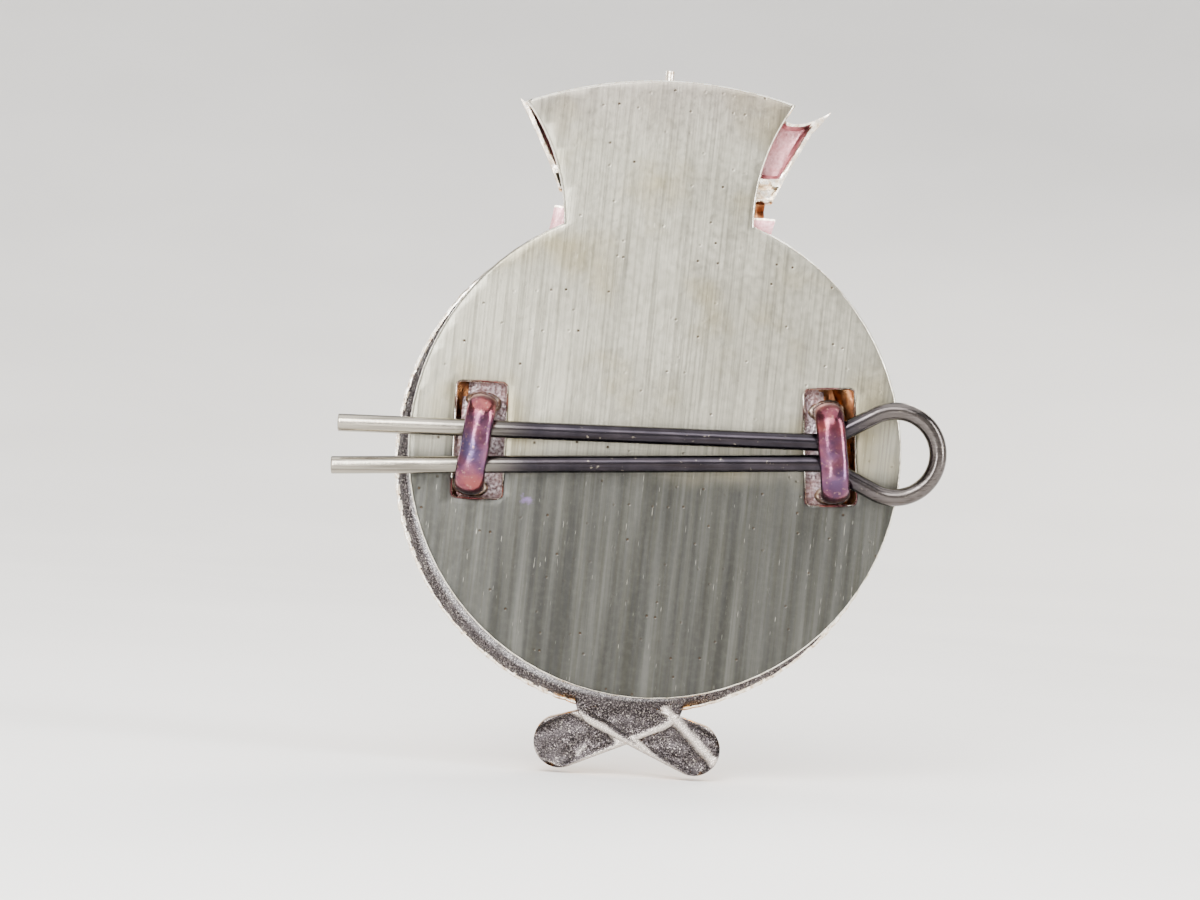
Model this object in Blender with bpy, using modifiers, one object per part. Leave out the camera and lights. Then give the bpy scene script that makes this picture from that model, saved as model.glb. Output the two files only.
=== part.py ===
"""A built-up cap badge with two lugs, a slotted back plate and a split pin.

The badge is drawn lying on its back: X runs across it, Y runs up towards the crown, and Z points
out of its face. The plane Z = 0 is the rear of the front badge, which bears on the cap. An empty
then stands the whole badge upright, so that its face looks along -Y and its crown points to +Z.
"""

import math

import bmesh
import bpy
from mathutils import Matrix, Vector

MM = 0.001

# Wreath ring and the field that fills it
RING_RADIUS = 18.6 * MM
RING_BAND = 3.6 * MM
RING_RIM = 1.3 * MM
RING_HEIGHT = 2.9 * MM
RING_WALL = 0.8 * MM
RING_LIP = 1.0 * MM
GROOVE_SHOULDER = 0.1 * MM
CENTRE_THICKNESS = 0.9 * MM
CIRCLET_MARGIN = 1.2 * MM
CIRCLET_WIDTH = 2.9 * MM
CIRCLET_HEIGHT = 1.0 * MM
CIRCLET_CHAMFER = 0.25 * MM
STAR_MARGIN = 0.9 * MM
STAR_POINTS = 8
STAR_WAIST = 0.62
STAR_HEIGHT = 1.0 * MM
BOSS_RADIUS = 3.0 * MM
BOSS_HEIGHT = 1.9 * MM

# Crossing stems at the foot of the wreath
STEM_REACH = 5.0 * MM
STEM_DROP = 2.4 * MM
STEM_LENGTH = 7.5 * MM
STEM_END_RADIUS = 1.95 * MM
STEM_ROOT_RADIUS = 2.35 * MM
STEM_SLOPE = math.radians(27)
STEM_HEIGHT = 1.9 * MM
STEM_ROUNDING = 0.6 * MM

# Crown with the stepped collar under it; heights are above the top of the ring
COLLAR_HALF_WIDTH = 8.2 * MM
COLLAR_TOP = 0.2 * MM
NECK_HALF_WIDTH = 7.45 * MM
NECK_TOP = 1.3 * MM
CROWN_FOOT_RISE = 0.1 * MM
CROWN_FOOT_HALF_WIDTH = 7.95 * MM
CROWN_HALF_WIDTH = 11.25 * MM
CROWN_END_POINT = 8.0 * MM
CROWN_MIDDLE_POINT = 9.4 * MM
CROWN_DIP = 1.0 * MM
CROWN_PANELS = 6
CROWN_HEIGHT = 2.4 * MM
CROWN_BACK_WALL = 0.9 * MM
CROWN_RIB = 0.5 * MM
CROWN_BAND = 1.3 * MM
CROWN_POCKET_TOP = 6.9 * MM
FINIAL_HALF_WIDTH = 0.33 * MM
FINIAL_TOP = 10.8 * MM

# Split pin: one wire, two splayed legs and an open eye
PIN_WIRE = 1.3 * MM
PIN_TIP_GAP = 3.14 * MM
PIN_KNEE_GAP = 1.52 * MM
PIN_KNEE_RADIUS = 1.5 * MM
PIN_EYE_RADIUS = 3.18 * MM
PIN_TIP_OVERHANG = 10.6 * MM
PIN_LEG_DIFFERENCE = 0.45 * MM
PIN_EYE_STANDOFF = 4.65 * MM
PIN_KNEE_STANDOFF = 0.75 * MM
PIN_SLOPE = math.radians(2.5)
PIN_ABOVE_PLATE = 1.05 * MM

# Lugs: two staples of flattened wire, brazed by hand, so each leans its own way
LUG_INSET = 1.92 * MM
LUG_WIRE_WIDTH = 2.15 * MM
LUG_WIRE_DEPTH = 1.25 * MM
LUG_SIDE_PLAY = 0.3 * MM
LUG_TOP_PLAY = 0.15 * MM
LUG_SHOULDER = 1.5 * MM
LUG_PAIR_SHIFT = -0.58 * MM
EYE_LUG_RISE = 1.68 * MM
TIP_LUG_ABOVE_PIN = 0.18 * MM
TIP_LUG_LEAN = math.radians(6.0)
EYE_LUG_LEAN = math.radians(-8.0)

# Back plate: a round sheet with a waisted neck and a fishtail, hung a little askew on the lugs
PLATE_THICKNESS = 0.9 * MM
PLATE_MARGIN = 0.3 * MM
PLATE_SHIFT = Vector((-0.69 * MM, 0.91 * MM))
PLATE_TURN = math.radians(-2.5)
PLATE_NECK_HALF_WIDTH = 7.05 * MM
PLATE_NECK_DROP = 1.3 * MM
PLATE_NECK_RADIUS = 15.0 * MM
PLATE_TAIL_LENGTH = 7.6 * MM
PLATE_CREST_RADIUS = 30.0 * MM
SLOT_PLAY_ACROSS = 1.5 * MM
SLOT_PLAY_ALONG = 0.98 * MM
SLOT_CORNER = 0.35 * MM
SLOT_LEAN = math.radians(1.9)
TIP_SLOT_OFFSET = Vector((-0.19 * MM, 0.3 * MM))
EYE_SLOT_OFFSET = Vector((0.0 * MM, 0.42 * MM))

# Gaps between pieces that touch on the real badge
SEAT_GAP = 0.05 * MM
PLATE_GAP = 0.15 * MM

# Fineness of round shapes
RING_STEPS = 96
ARC_STEPS = 12
DOME_STEPS = 12
VAULT_STEPS = 8
END_STEPS = 16
DISC_STEPS = 36
EYE_STEPS = 40

# Sizes that follow from the ones above
CENTRE_RADIUS = RING_RADIUS - RING_BAND
RING_BORE = CENTRE_RADIUS - RING_LIP
FIELD_FRONT = CENTRE_THICKNESS + SEAT_GAP
CIRCLET_RADIUS = RING_BORE - CIRCLET_MARGIN
STAR_RADIUS = CIRCLET_RADIUS - CIRCLET_WIDTH - STAR_MARGIN
PLATE_RADIUS = RING_RADIUS - PLATE_MARGIN
PLATE_BACK = -(PLATE_GAP + PLATE_THICKNESS)
PIN_Z = PLATE_BACK - PIN_ABOVE_PLATE - PIN_WIRE / 2
LUG_INNER_WIDTH = PIN_TIP_GAP + PIN_WIRE + 2 * LUG_SIDE_PLAY
LUG_LENGTH = LUG_INNER_WIDTH + 2 * LUG_WIRE_DEPTH
LUG_TOP_Z = PIN_Z - PIN_WIRE / 2 - LUG_TOP_PLAY - LUG_WIRE_DEPTH / 2
LUG_REACH = CENTRE_RADIUS - LUG_INSET
EYE_LUG = Vector((LUG_PAIR_SHIFT - LUG_REACH, EYE_LUG_RISE))
PIN_FALL = 2 * LUG_REACH * math.tan(PIN_SLOPE)
TIP_LUG = Vector((LUG_PAIR_SHIFT + LUG_REACH, EYE_LUG_RISE - PIN_FALL + TIP_LUG_ABOVE_PIN))


def clear_scene():
    for old in list(bpy.data.objects):
        bpy.data.objects.remove(old, do_unlink=True)


def make_collection(name):
    group = bpy.data.collections.new(name)
    bpy.context.scene.collection.children.link(group)
    return group


def metal(name, colour, roughness):
    made = bpy.data.materials.new(name)
    made.use_nodes = True
    shader = made.node_tree.nodes["Principled BSDF"]
    shader.inputs["Base Color"].default_value = (*colour, 1.0)
    shader.inputs["Metallic"].default_value = 1.0
    shader.inputs["Roughness"].default_value = roughness
    made.diffuse_color = (*colour, 1.0)
    return made


def place(obj, material=None):
    """Hangs a piece on the stand: with a material it is a part of the badge, without one a cutter."""
    home = badge if material else cutters
    home.objects.link(obj)
    obj.parent = stand
    if material:
        obj.data.materials.append(material)
    else:
        obj.hide_render = True
        obj.display_type = "WIRE"
    return obj


def arc(centre, radius, start, end, steps=ARC_STEPS):
    """Points along an arc, from one angle in degrees to another, both ends included."""
    middle = Vector(centre)
    angles = [math.radians(start + (end - start) * i / steps) for i in range(steps + 1)]
    return [middle + radius * Vector((math.cos(a), math.sin(a))) for a in angles]


def mirrored(points):
    """The other half of an outline, from the last point back to the first, without points on the axis."""
    return [Vector((-p[0], p[1])) for p in reversed(points) if abs(p[0]) > 1e-9]


def turned_about(point, centre, angle):
    return Vector(centre) + Matrix.Rotation(angle, 2) @ (Vector(point) - Vector(centre))


def rounded(corners, radius, steps=6):
    """A path through the corners, with each inner corner replaced by an arc of the given radius."""
    path = [corners[0]]
    for before, corner, after in zip(corners, corners[1:], corners[2:]):
        to_before = (before - corner).normalized()
        to_after = (after - corner).normalized()
        half = to_before.angle(to_after) / 2
        middle = corner + (to_before + to_after).normalized() * radius / math.sin(half)
        first = corner + to_before * radius / math.tan(half) - middle
        last = corner + to_after * radius / math.tan(half) - middle
        turn = math.atan2(first.cross(last), first.dot(last))
        path += [middle + Matrix.Rotation(turn * i / steps, 2) @ first for i in range(steps + 1)]
    path.append(corners[-1])
    return path


def slab_mesh(name, outlines, back, front):
    """A flat plate between two heights, from one outer outline and any holes, welded into one mesh."""
    curve = bpy.data.curves.new(name, "CURVE")
    curve.dimensions = "2D"
    curve.fill_mode = "BOTH"
    curve.extrude = (front - back) / 2
    for outline in outlines:
        spline = curve.splines.new("POLY")
        spline.points.add(len(outline) - 1)
        for point, target in zip(spline.points, outline):
            point.co = (target[0], target[1], 0.0, 1.0)
        spline.use_cyclic_u = True
    return meshed(name, curve, (back + front) / 2)


def wire_mesh(name, path, thickness, sides_level):
    """A round wire along an open path, with flat cut ends."""
    curve = bpy.data.curves.new(name, "CURVE")
    curve.dimensions = "3D"
    curve.bevel_depth = thickness / 2
    curve.bevel_resolution = sides_level
    curve.use_fill_caps = True
    spline = curve.splines.new("POLY")
    spline.points.add(len(path) - 1)
    for point, target in zip(spline.points, path):
        point.co = (*target, 1.0)
    return meshed(name, curve, 0.0)


def meshed(name, curve, lift):
    """The curve's surface as a mesh, lifted along Z, with its loose caps welded on."""
    temporary = bpy.data.objects.new(name, curve)
    bpy.context.scene.collection.objects.link(temporary)
    bpy.context.view_layer.update()
    graph = bpy.context.evaluated_depsgraph_get()
    mesh = bpy.data.meshes.new_from_object(temporary.evaluated_get(graph))
    bpy.data.objects.remove(temporary, do_unlink=True)
    bpy.data.curves.remove(curve)
    mesh.name = name
    shape = bmesh.new()
    shape.from_mesh(mesh)
    bmesh.ops.translate(shape, vec=(0, 0, lift), verts=shape.verts)
    bmesh.ops.remove_doubles(shape, verts=shape.verts, dist=1e-6)
    bmesh.ops.recalc_face_normals(shape, faces=shape.faces)
    shape.to_mesh(mesh)
    shape.free()
    return mesh


def turned_mesh(name, profile):
    """A closed profile of (radius, height) points, as loose edges for a Screw to spin about Z."""
    mesh = bpy.data.meshes.new(name)
    points = [(radius, 0.0, height) for radius, height in profile]
    edges = [(i, (i + 1) % len(points)) for i in range(len(points))]
    mesh.from_pydata(points, edges, [])
    return mesh


def spin(obj):
    screw = obj.modifiers.new("Turn", "SCREW")
    screw.axis = "Z"
    screw.steps = RING_STEPS
    screw.render_steps = RING_STEPS
    screw.use_merge_vertices = True
    screw.merge_threshold = 1e-6


def boolean(obj, other, operation):
    step = obj.modifiers.new(f"{operation.title()} {other.name}", "BOOLEAN")
    step.operation = operation
    step.solver = "EXACT"
    step.object = other


def bevel(obj, width, segments=2, angle=50):
    step = obj.modifiers.new("Round", "BEVEL")
    step.width = width
    step.segments = segments
    step.limit_method = "ANGLE"
    step.angle_limit = math.radians(angle)


def wreath():
    """The hollow ring, C-shaped in section and open at the back, with the crossing stems joined on."""
    band_middle = (RING_RADIUS + RING_BORE) / 2
    half_band = (RING_RADIUS - RING_BORE) / 2
    groove_out = RING_RADIUS - RING_RIM
    groove_in = CENTRE_RADIUS + SEAT_GAP
    shoulder = FIELD_FRONT + GROOVE_SHOULDER
    crest = RING_HEIGHT - shoulder
    dome = [
        (band_middle + half_band * math.cos(a), shoulder + crest * math.sin(a))
        for a in (math.pi * i / DOME_STEPS for i in range(DOME_STEPS + 1))
    ]
    groove_middle = (groove_out + groove_in) / 2
    half_groove = (groove_out - groove_in) / 2
    vault = [
        (groove_middle - half_groove * math.cos(a), shoulder + (crest - RING_WALL) * math.sin(a))
        for a in (math.pi * i / VAULT_STEPS for i in range(1, VAULT_STEPS))
    ]
    profile = [(groove_out, 0.0), (groove_out, shoulder), *reversed(vault), (groove_in, shoulder)]
    profile += [(groove_in, FIELD_FRONT), (RING_BORE, FIELD_FRONT), *reversed(dome), (RING_RADIUS, 0.0)]
    ring = place(bpy.data.objects.new("wreath", turned_mesh("wreath", profile)), gilt)
    spin(ring)

    inside = place(bpy.data.objects.new("stem_trim", stem_trim_mesh()))
    for side in (-1, 1):
        stem = place(bpy.data.objects.new("stem_cutter", stem_mesh(side)))
        bevel(stem, STEM_ROUNDING)
        boolean(stem, inside, "DIFFERENCE")
        boolean(ring, stem, "UNION")
    return ring


def stem_trim_mesh():
    """The disc that keeps the stems out of the ring's groove, taller than they are on both sides."""
    mesh = bpy.data.meshes.new("stem_trim")
    shape = bmesh.new()
    radius = RING_RADIUS - RING_RIM / 2
    depth = 4 * STEM_HEIGHT
    bmesh.ops.create_cone(
        shape, cap_ends=True, segments=RING_STEPS, radius1=radius, radius2=radius, depth=depth
    )
    shape.to_mesh(mesh)
    shape.free()
    return mesh


def stem_mesh(side):
    """One stem: a rounded end below the ring, widening to its root under the ring."""
    end = Vector((side * STEM_REACH, -(RING_RADIUS + STEM_DROP)))
    along = Vector((-side * math.cos(STEM_SLOPE), math.sin(STEM_SLOPE)))
    root = end + along * STEM_LENGTH
    heading = math.degrees(math.atan2(along.y, along.x))
    outline = arc(end, STEM_END_RADIUS, heading + 90, heading + 270, END_STEPS)
    outline += arc(root, STEM_ROOT_RADIUS, heading - 90, heading + 90, END_STEPS)
    return slab_mesh("stem_cutter", [outline], 0.0, STEM_HEIGHT)


def crown():
    """The flared crown with its collar seated on the ring, struck hollow behind its panels."""
    seat = RING_RADIUS + SEAT_GAP
    base = RING_RADIUS
    corner = math.degrees(math.acos(COLLAR_HALF_WIDTH / seat))
    right = arc((0, 0), seat, 90, corner)
    right += [
        Vector((COLLAR_HALF_WIDTH, base + COLLAR_TOP)),
        Vector((NECK_HALF_WIDTH, base + COLLAR_TOP)),
        Vector((NECK_HALF_WIDTH, base + NECK_TOP)),
        Vector((CROWN_FOOT_HALF_WIDTH, base + NECK_TOP + CROWN_FOOT_RISE)),
    ]
    right += crown_points(base)
    right += [
        Vector((FINIAL_HALF_WIDTH, base + CROWN_MIDDLE_POINT)),
        Vector((FINIAL_HALF_WIDTH, base + FINIAL_TOP)),
    ]
    mesh = slab_mesh("crown", [right + mirrored(right)], 0.0, CROWN_HEIGHT)
    piece = place(bpy.data.objects.new("crown", mesh), gilt)
    for index in range(CROWN_PANELS):
        pocket = place(bpy.data.objects.new("pocket_cutter", pocket_mesh(index)))
        boolean(piece, pocket, "DIFFERENCE")
    return piece


def crown_x(share, height):
    """How far out a line of the flare lies at a height: share 1 is the outer edge, share 0 the middle."""
    climb = (height - NECK_TOP) / (CROWN_END_POINT - NECK_TOP)
    return share * (CROWN_FOOT_HALF_WIDTH + climb * (CROWN_HALF_WIDTH - CROWN_FOOT_HALF_WIDTH))


def crown_top(share):
    """Height of the line that joins the crown's points, a little higher in the middle."""
    return CROWN_MIDDLE_POINT - (CROWN_MIDDLE_POINT - CROWN_END_POINT) * share**2


def crown_points(base):
    """The right half of the crown's top edge, from the end point in to the middle one."""
    found = []
    half_panels = CROWN_PANELS // 2
    for step in range(2 * half_panels, 0, -1):
        share = step / (2 * half_panels)
        height = crown_top(share) - (CROWN_DIP if step % 2 else 0.0)
        found.append(Vector((share * CROWN_HALF_WIDTH, base + height)))
    return found


def pocket_mesh(index):
    """A four-sided hollow behind one panel, deeper than the back face by a clear overlap."""
    low = NECK_TOP + CROWN_BAND
    left = -1 + 2 * index / CROWN_PANELS
    right = -1 + 2 * (index + 1) / CROWN_PANELS
    corners = [
        Vector((crown_x(left, low) + CROWN_RIB, RING_RADIUS + low)),
        Vector((crown_x(right, low) - CROWN_RIB, RING_RADIUS + low)),
        Vector((crown_x(right, CROWN_POCKET_TOP) - CROWN_RIB, RING_RADIUS + CROWN_POCKET_TOP)),
        Vector((crown_x(left, CROWN_POCKET_TOP) + CROWN_RIB, RING_RADIUS + CROWN_POCKET_TOP)),
    ]
    return slab_mesh("pocket_cutter", [corners], -CROWN_HEIGHT, CROWN_HEIGHT - CROWN_BACK_WALL)


def centre_plate():
    """The round field: it fills the ring from behind and carries the lugs."""
    outline = arc((0, 0), CENTRE_RADIUS, 0, 360, RING_STEPS)[:-1]
    mesh = slab_mesh("centre_plate", [outline], 0.0, CENTRE_THICKNESS)
    return place(bpy.data.objects.new("centre_plate", mesh), gilt)


def circlet():
    """The plain raised band round the field."""
    inner = CIRCLET_RADIUS - CIRCLET_WIDTH
    low = FIELD_FRONT
    high = FIELD_FRONT + CIRCLET_HEIGHT
    profile = [
        (inner, low),
        (inner, high - CIRCLET_CHAMFER),
        (inner + CIRCLET_CHAMFER, high),
        (CIRCLET_RADIUS - CIRCLET_CHAMFER, high),
        (CIRCLET_RADIUS, high - CIRCLET_CHAMFER),
        (CIRCLET_RADIUS, low),
    ]
    piece = place(bpy.data.objects.new("circlet", turned_mesh("circlet", profile)), gilt)
    spin(piece)
    return piece


def centre_star():
    """A plain pointed star with a domed boss."""
    count = 2 * STAR_POINTS
    outline = []
    for i in range(count):
        reach = STAR_RADIUS * (1 if i % 2 == 0 else STAR_WAIST)
        angle = math.pi / 2 + math.pi * i / STAR_POINTS
        outline.append(Vector((reach * math.cos(angle), reach * math.sin(angle))))
    mesh = slab_mesh("centre_star", [outline], FIELD_FRONT, FIELD_FRONT + STAR_HEIGHT)
    piece = place(bpy.data.objects.new("centre_star", mesh), gilt)
    dome = bpy.data.meshes.new("boss_cutter")
    shape = bmesh.new()
    bmesh.ops.create_uvsphere(shape, u_segments=32, v_segments=16, radius=1.0)
    bmesh.ops.scale(shape, vec=(BOSS_RADIUS, BOSS_RADIUS, BOSS_HEIGHT), verts=shape.verts)
    bmesh.ops.translate(shape, vec=(0, 0, FIELD_FRONT + STAR_HEIGHT / 2), verts=shape.verts)
    below = FIELD_FRONT + STAR_HEIGHT / 4
    cut = bmesh.ops.bisect_plane(
        shape, geom=shape.verts[:] + shape.edges[:] + shape.faces[:],
        plane_co=(0, 0, below), plane_no=(0, 0, 1), clear_inner=True,
    )
    rim = [edge for edge in cut["geom_cut"] if isinstance(edge, bmesh.types.BMEdge)]
    bmesh.ops.holes_fill(shape, edges=rim)
    bmesh.ops.recalc_face_normals(shape, faces=shape.faces)
    shape.to_mesh(dome)
    shape.free()
    boolean(piece, place(bpy.data.objects.new("boss_cutter", dome)), "UNION")
    return piece


def lug(name, centre, lean):
    """A staple of flattened wire standing on the field's rear face; it is made round and then widened."""
    half = (LUG_INNER_WIDTH + LUG_WIRE_DEPTH) / 2
    corners = [
        Vector((-half, -SEAT_GAP)),
        Vector((-half, LUG_TOP_Z)),
        Vector((half, LUG_TOP_Z)),
        Vector((half, -SEAT_GAP)),
    ]
    path = [(0.0, y, z) for y, z in rounded(corners, LUG_SHOULDER, 8)]
    mesh = wire_mesh(name, path, LUG_WIRE_DEPTH, sides_level=4)
    mesh.transform(Matrix.Diagonal((LUG_WIRE_WIDTH / LUG_WIRE_DEPTH, 1.0, 1.0, 1.0)))
    piece = place(bpy.data.objects.new(name, mesh), copper)
    piece.location = (centre.x, centre.y, 0.0)
    piece.rotation_euler.z = lean
    return piece


def to_plate(point):
    """A point of the badge, in the back plate's own turned and shifted frame."""
    return Matrix.Rotation(-PLATE_TURN, 2) @ (Vector(point) - PLATE_SHIFT)


def slot(centre, lean):
    """A punched slot with rounded corners."""
    half_width = (LUG_WIRE_WIDTH + SLOT_PLAY_ACROSS) / 2
    half_length = (LUG_LENGTH + SLOT_PLAY_ALONG) / 2
    outline = []
    for sx, sy, start in ((1, 1, 0), (-1, 1, 90), (-1, -1, 180), (1, -1, 270)):
        middle = centre + Vector((sx * (half_width - SLOT_CORNER), sy * (half_length - SLOT_CORNER)))
        outline += arc(middle, SLOT_CORNER, start, start + 90, 3)
    return [turned_about(p, centre, lean) for p in outline]


def back_plate():
    """The sheet that clamps the badge to the cap: a disc, a waisted neck, a fishtail and two slots."""
    junction = math.degrees(math.acos(PLATE_NECK_HALF_WIDTH / PLATE_RADIUS))
    waist = PLATE_RADIUS - PLATE_NECK_DROP
    tail = PLATE_RADIUS + PLATE_TAIL_LENGTH
    flare_middle = (PLATE_NECK_HALF_WIDTH + PLATE_NECK_RADIUS, waist)
    flare = math.degrees(math.asin((tail - waist) / PLATE_NECK_RADIUS))
    right = arc((0, 0), PLATE_RADIUS, -90, junction, DISC_STEPS)
    right += arc(flare_middle, PLATE_NECK_RADIUS, 180, 180 - flare)
    tail_corner = right[-1]
    half_crest = math.asin(tail_corner.x / PLATE_CREST_RADIUS)
    crest_middle = (0, tail_corner.y - PLATE_CREST_RADIUS * math.cos(half_crest))
    crest_start = 90 - math.degrees(half_crest)
    right += arc(crest_middle, PLATE_CREST_RADIUS, crest_start, 90)[1:]
    outline = right + mirrored(right)
    slots = [
        slot(to_plate(TIP_LUG) + TIP_SLOT_OFFSET, SLOT_LEAN),
        slot(to_plate(EYE_LUG) + EYE_SLOT_OFFSET, -SLOT_LEAN),
    ]
    mesh = slab_mesh("back_plate", [outline, *slots], PLATE_BACK, -PLATE_GAP)
    piece = place(bpy.data.objects.new("back_plate", mesh), sheet_brass)
    piece.location = (PLATE_SHIFT.x, PLATE_SHIFT.y, 0.0)
    piece.rotation_euler.z = PLATE_TURN
    return piece


def pin_path():
    """From one tip to its knee by the lug, round the eye, and back to the other tip, about the eye."""
    lug_spacing = 2 * LUG_REACH
    knee_x = PIN_EYE_STANDOFF + PIN_KNEE_STANDOFF
    tip_x = lug_spacing + PIN_EYE_STANDOFF + PIN_TIP_OVERHANG
    knee = Vector((knee_x, PIN_KNEE_GAP / 2))
    other_knee = Vector((knee_x, -PIN_KNEE_GAP / 2))
    short_tip = Vector((tip_x - PIN_LEG_DIFFERENCE, PIN_TIP_GAP / 2))
    long_tip = Vector((tip_x, -PIN_TIP_GAP / 2))
    tangent = math.degrees(math.atan2(knee.y, knee.x) + math.acos(PIN_EYE_RADIUS / knee.length))
    eye = arc((0, 0), PIN_EYE_RADIUS, tangent, 360 - tangent, EYE_STEPS)
    upper = rounded([short_tip, knee, eye[0]], PIN_KNEE_RADIUS)
    lower = rounded([eye[-1], other_knee, long_tip], PIN_KNEE_RADIUS)
    return [(p.x, p.y, 0.0) for p in upper[:-1] + eye + lower[1:]]


def split_pin():
    """The pin lies through both lugs; its own X runs from the eye's centre to the tips."""
    mesh = wire_mesh("split_pin", pin_path(), PIN_WIRE, sides_level=3)
    piece = place(bpy.data.objects.new("split_pin", mesh), pin_brass)
    lift = PIN_EYE_STANDOFF * math.tan(PIN_SLOPE)
    piece.location = (EYE_LUG.x - PIN_EYE_STANDOFF, EYE_LUG.y + lift, PIN_Z)
    piece.rotation_euler.z = -PIN_SLOPE
    return piece


clear_scene()
badge = make_collection("cap_badge")
cutters = make_collection("cutters")
stand = bpy.data.objects.new("badge_stand", None)
stand.rotation_euler.x = math.radians(90)
badge.objects.link(stand)

gilt = metal("gilt_gilding_metal", (0.72, 0.47, 0.22), 0.35)
copper = metal("copper_wire", (0.62, 0.30, 0.22), 0.3)
sheet_brass = metal("dull_sheet_brass", (0.55, 0.52, 0.42), 0.45)
pin_brass = metal("dull_pin_brass", (0.42, 0.36, 0.28), 0.4)

wreath()
crown()
centre_plate()
circlet()
centre_star()
lug("lug_tip_side", TIP_LUG, TIP_LUG_LEAN)
lug("lug_eye_side", EYE_LUG, EYE_LUG_LEAN)
back_plate()
split_pin()
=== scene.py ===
import math

import bmesh
import bpy
from mathutils import Matrix, Vector, noise


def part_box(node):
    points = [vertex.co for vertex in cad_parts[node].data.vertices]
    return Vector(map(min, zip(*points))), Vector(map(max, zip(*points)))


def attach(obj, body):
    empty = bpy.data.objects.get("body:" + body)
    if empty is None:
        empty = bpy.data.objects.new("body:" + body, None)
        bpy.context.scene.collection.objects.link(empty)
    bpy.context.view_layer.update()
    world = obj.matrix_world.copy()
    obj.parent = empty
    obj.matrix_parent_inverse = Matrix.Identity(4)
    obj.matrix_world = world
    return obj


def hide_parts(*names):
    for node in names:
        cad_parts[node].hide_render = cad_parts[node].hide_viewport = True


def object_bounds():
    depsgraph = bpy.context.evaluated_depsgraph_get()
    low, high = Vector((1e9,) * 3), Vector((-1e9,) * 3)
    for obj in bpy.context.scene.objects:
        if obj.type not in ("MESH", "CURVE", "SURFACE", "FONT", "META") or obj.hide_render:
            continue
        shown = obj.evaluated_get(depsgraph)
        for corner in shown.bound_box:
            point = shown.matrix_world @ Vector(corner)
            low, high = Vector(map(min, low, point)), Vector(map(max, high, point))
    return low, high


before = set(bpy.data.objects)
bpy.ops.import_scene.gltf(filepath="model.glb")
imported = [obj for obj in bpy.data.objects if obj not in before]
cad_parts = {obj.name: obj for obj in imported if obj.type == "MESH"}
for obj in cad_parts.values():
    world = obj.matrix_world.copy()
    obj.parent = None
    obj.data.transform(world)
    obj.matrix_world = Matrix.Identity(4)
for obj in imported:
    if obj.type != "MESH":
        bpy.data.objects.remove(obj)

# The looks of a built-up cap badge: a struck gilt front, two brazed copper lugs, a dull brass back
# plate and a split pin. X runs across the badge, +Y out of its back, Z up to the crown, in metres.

CAD_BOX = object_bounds()
MM = 0.001
BACK = Vector((0, 1, 0))

# Wreath ring and what it holds
RING_RADIUS = 18.55 * MM
RIM_INNER = 16.9 * MM
RIM_LIP = 18.36 * MM
GROOVE_INNER = 15.05 * MM
RING_BORE = 14.0 * MM
RING_SHOULDER = 1.05 * MM
RING_CREST = 2.25 * MM
RING_STEPS = 480
RIM_LIP_DEPTH = 1.0 * MM
GROOVE_VAULT = 0.6 * MM
DOME_REACH = 0.95
DOME_LEAN = 0.75
SCALLOPS = 96
SCALLOP_DEPTH = 0.12 * MM
FIELD_RADIUS = 15.0 * MM
FIELD_THICKNESS = 0.9 * MM
FIELD_FRONT = 0.95 * MM
FIELD_CHANNEL = 0.4 * MM
FIELD_CELL = 0.4 * MM
FIELD_INSETS = (0.8 * MM, 0.25 * MM)
PANEL_RADIUS = 14.2 * MM

# Circlet and the star inside it
CIRCLET_OUTER = 12.8 * MM
CIRCLET_INNER = 9.9 * MM
CIRCLET_HEIGHT = 0.62 * MM
CIRCLET_SUNK = 0.22 * MM
CIRCLET_EDGE = 0.1 * MM
FILLET_WIDTH = 0.6 * MM
BEAD_RADIUS = 0.3 * MM
BEAD_INSET = 0.35 * MM
OUTER_BEADS = 120
INNER_BEADS = 98
STAR_POINTS = 8
STAR_SLAB = 0.25 * MM
LONG_RAYS = (9.0 * MM, 3.4 * MM, 1.45 * MM)
SHORT_RAYS = (7.6 * MM, 4.2 * MM, 1.1 * MM)
BOSS_LIFT = 0.95 * MM
BOSS_SHAPE = (2.55, 1.5, 2.55, 1)
ROPE_STRANDS = 40
ROPE_PLACE = Vector((2.75 * MM, -2.1 * MM, 0))
ROPE_LAY = math.radians(38)
STRAND_RADIUS = 0.36 * MM
STRAND_SHAPE = (1.25, 1.1, 0.75, 1)

# Laurel leaves, in three rows up each side
LEAF_LENGTH = 4.9 * MM
LEAF_WIDTH = 1.8 * MM
LEAF_THICKNESS = 0.42 * MM
LEAF_STATIONS = 16
LEAF_FIRST = math.radians(9)
LEAF_LAST = math.radians(167)
LEAF_ROW_SPACING = 1.12 * MM
LEAF_SPREAD = math.radians(24)
LEAF_DROOP = math.radians(-5)
LEAF_TIP_LIFT = 0.18 * MM
TOP_LEAF_LIFT = 0.12 * MM
TOP_LEAF_LEAD = 0.45
BERRY_RADIUS = 0.42 * MM
BERRY_LEAD = 0.3
BERRY_ASIDE = 0.85 * MM
BERRY_LIFT = 0.25 * MM

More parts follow.
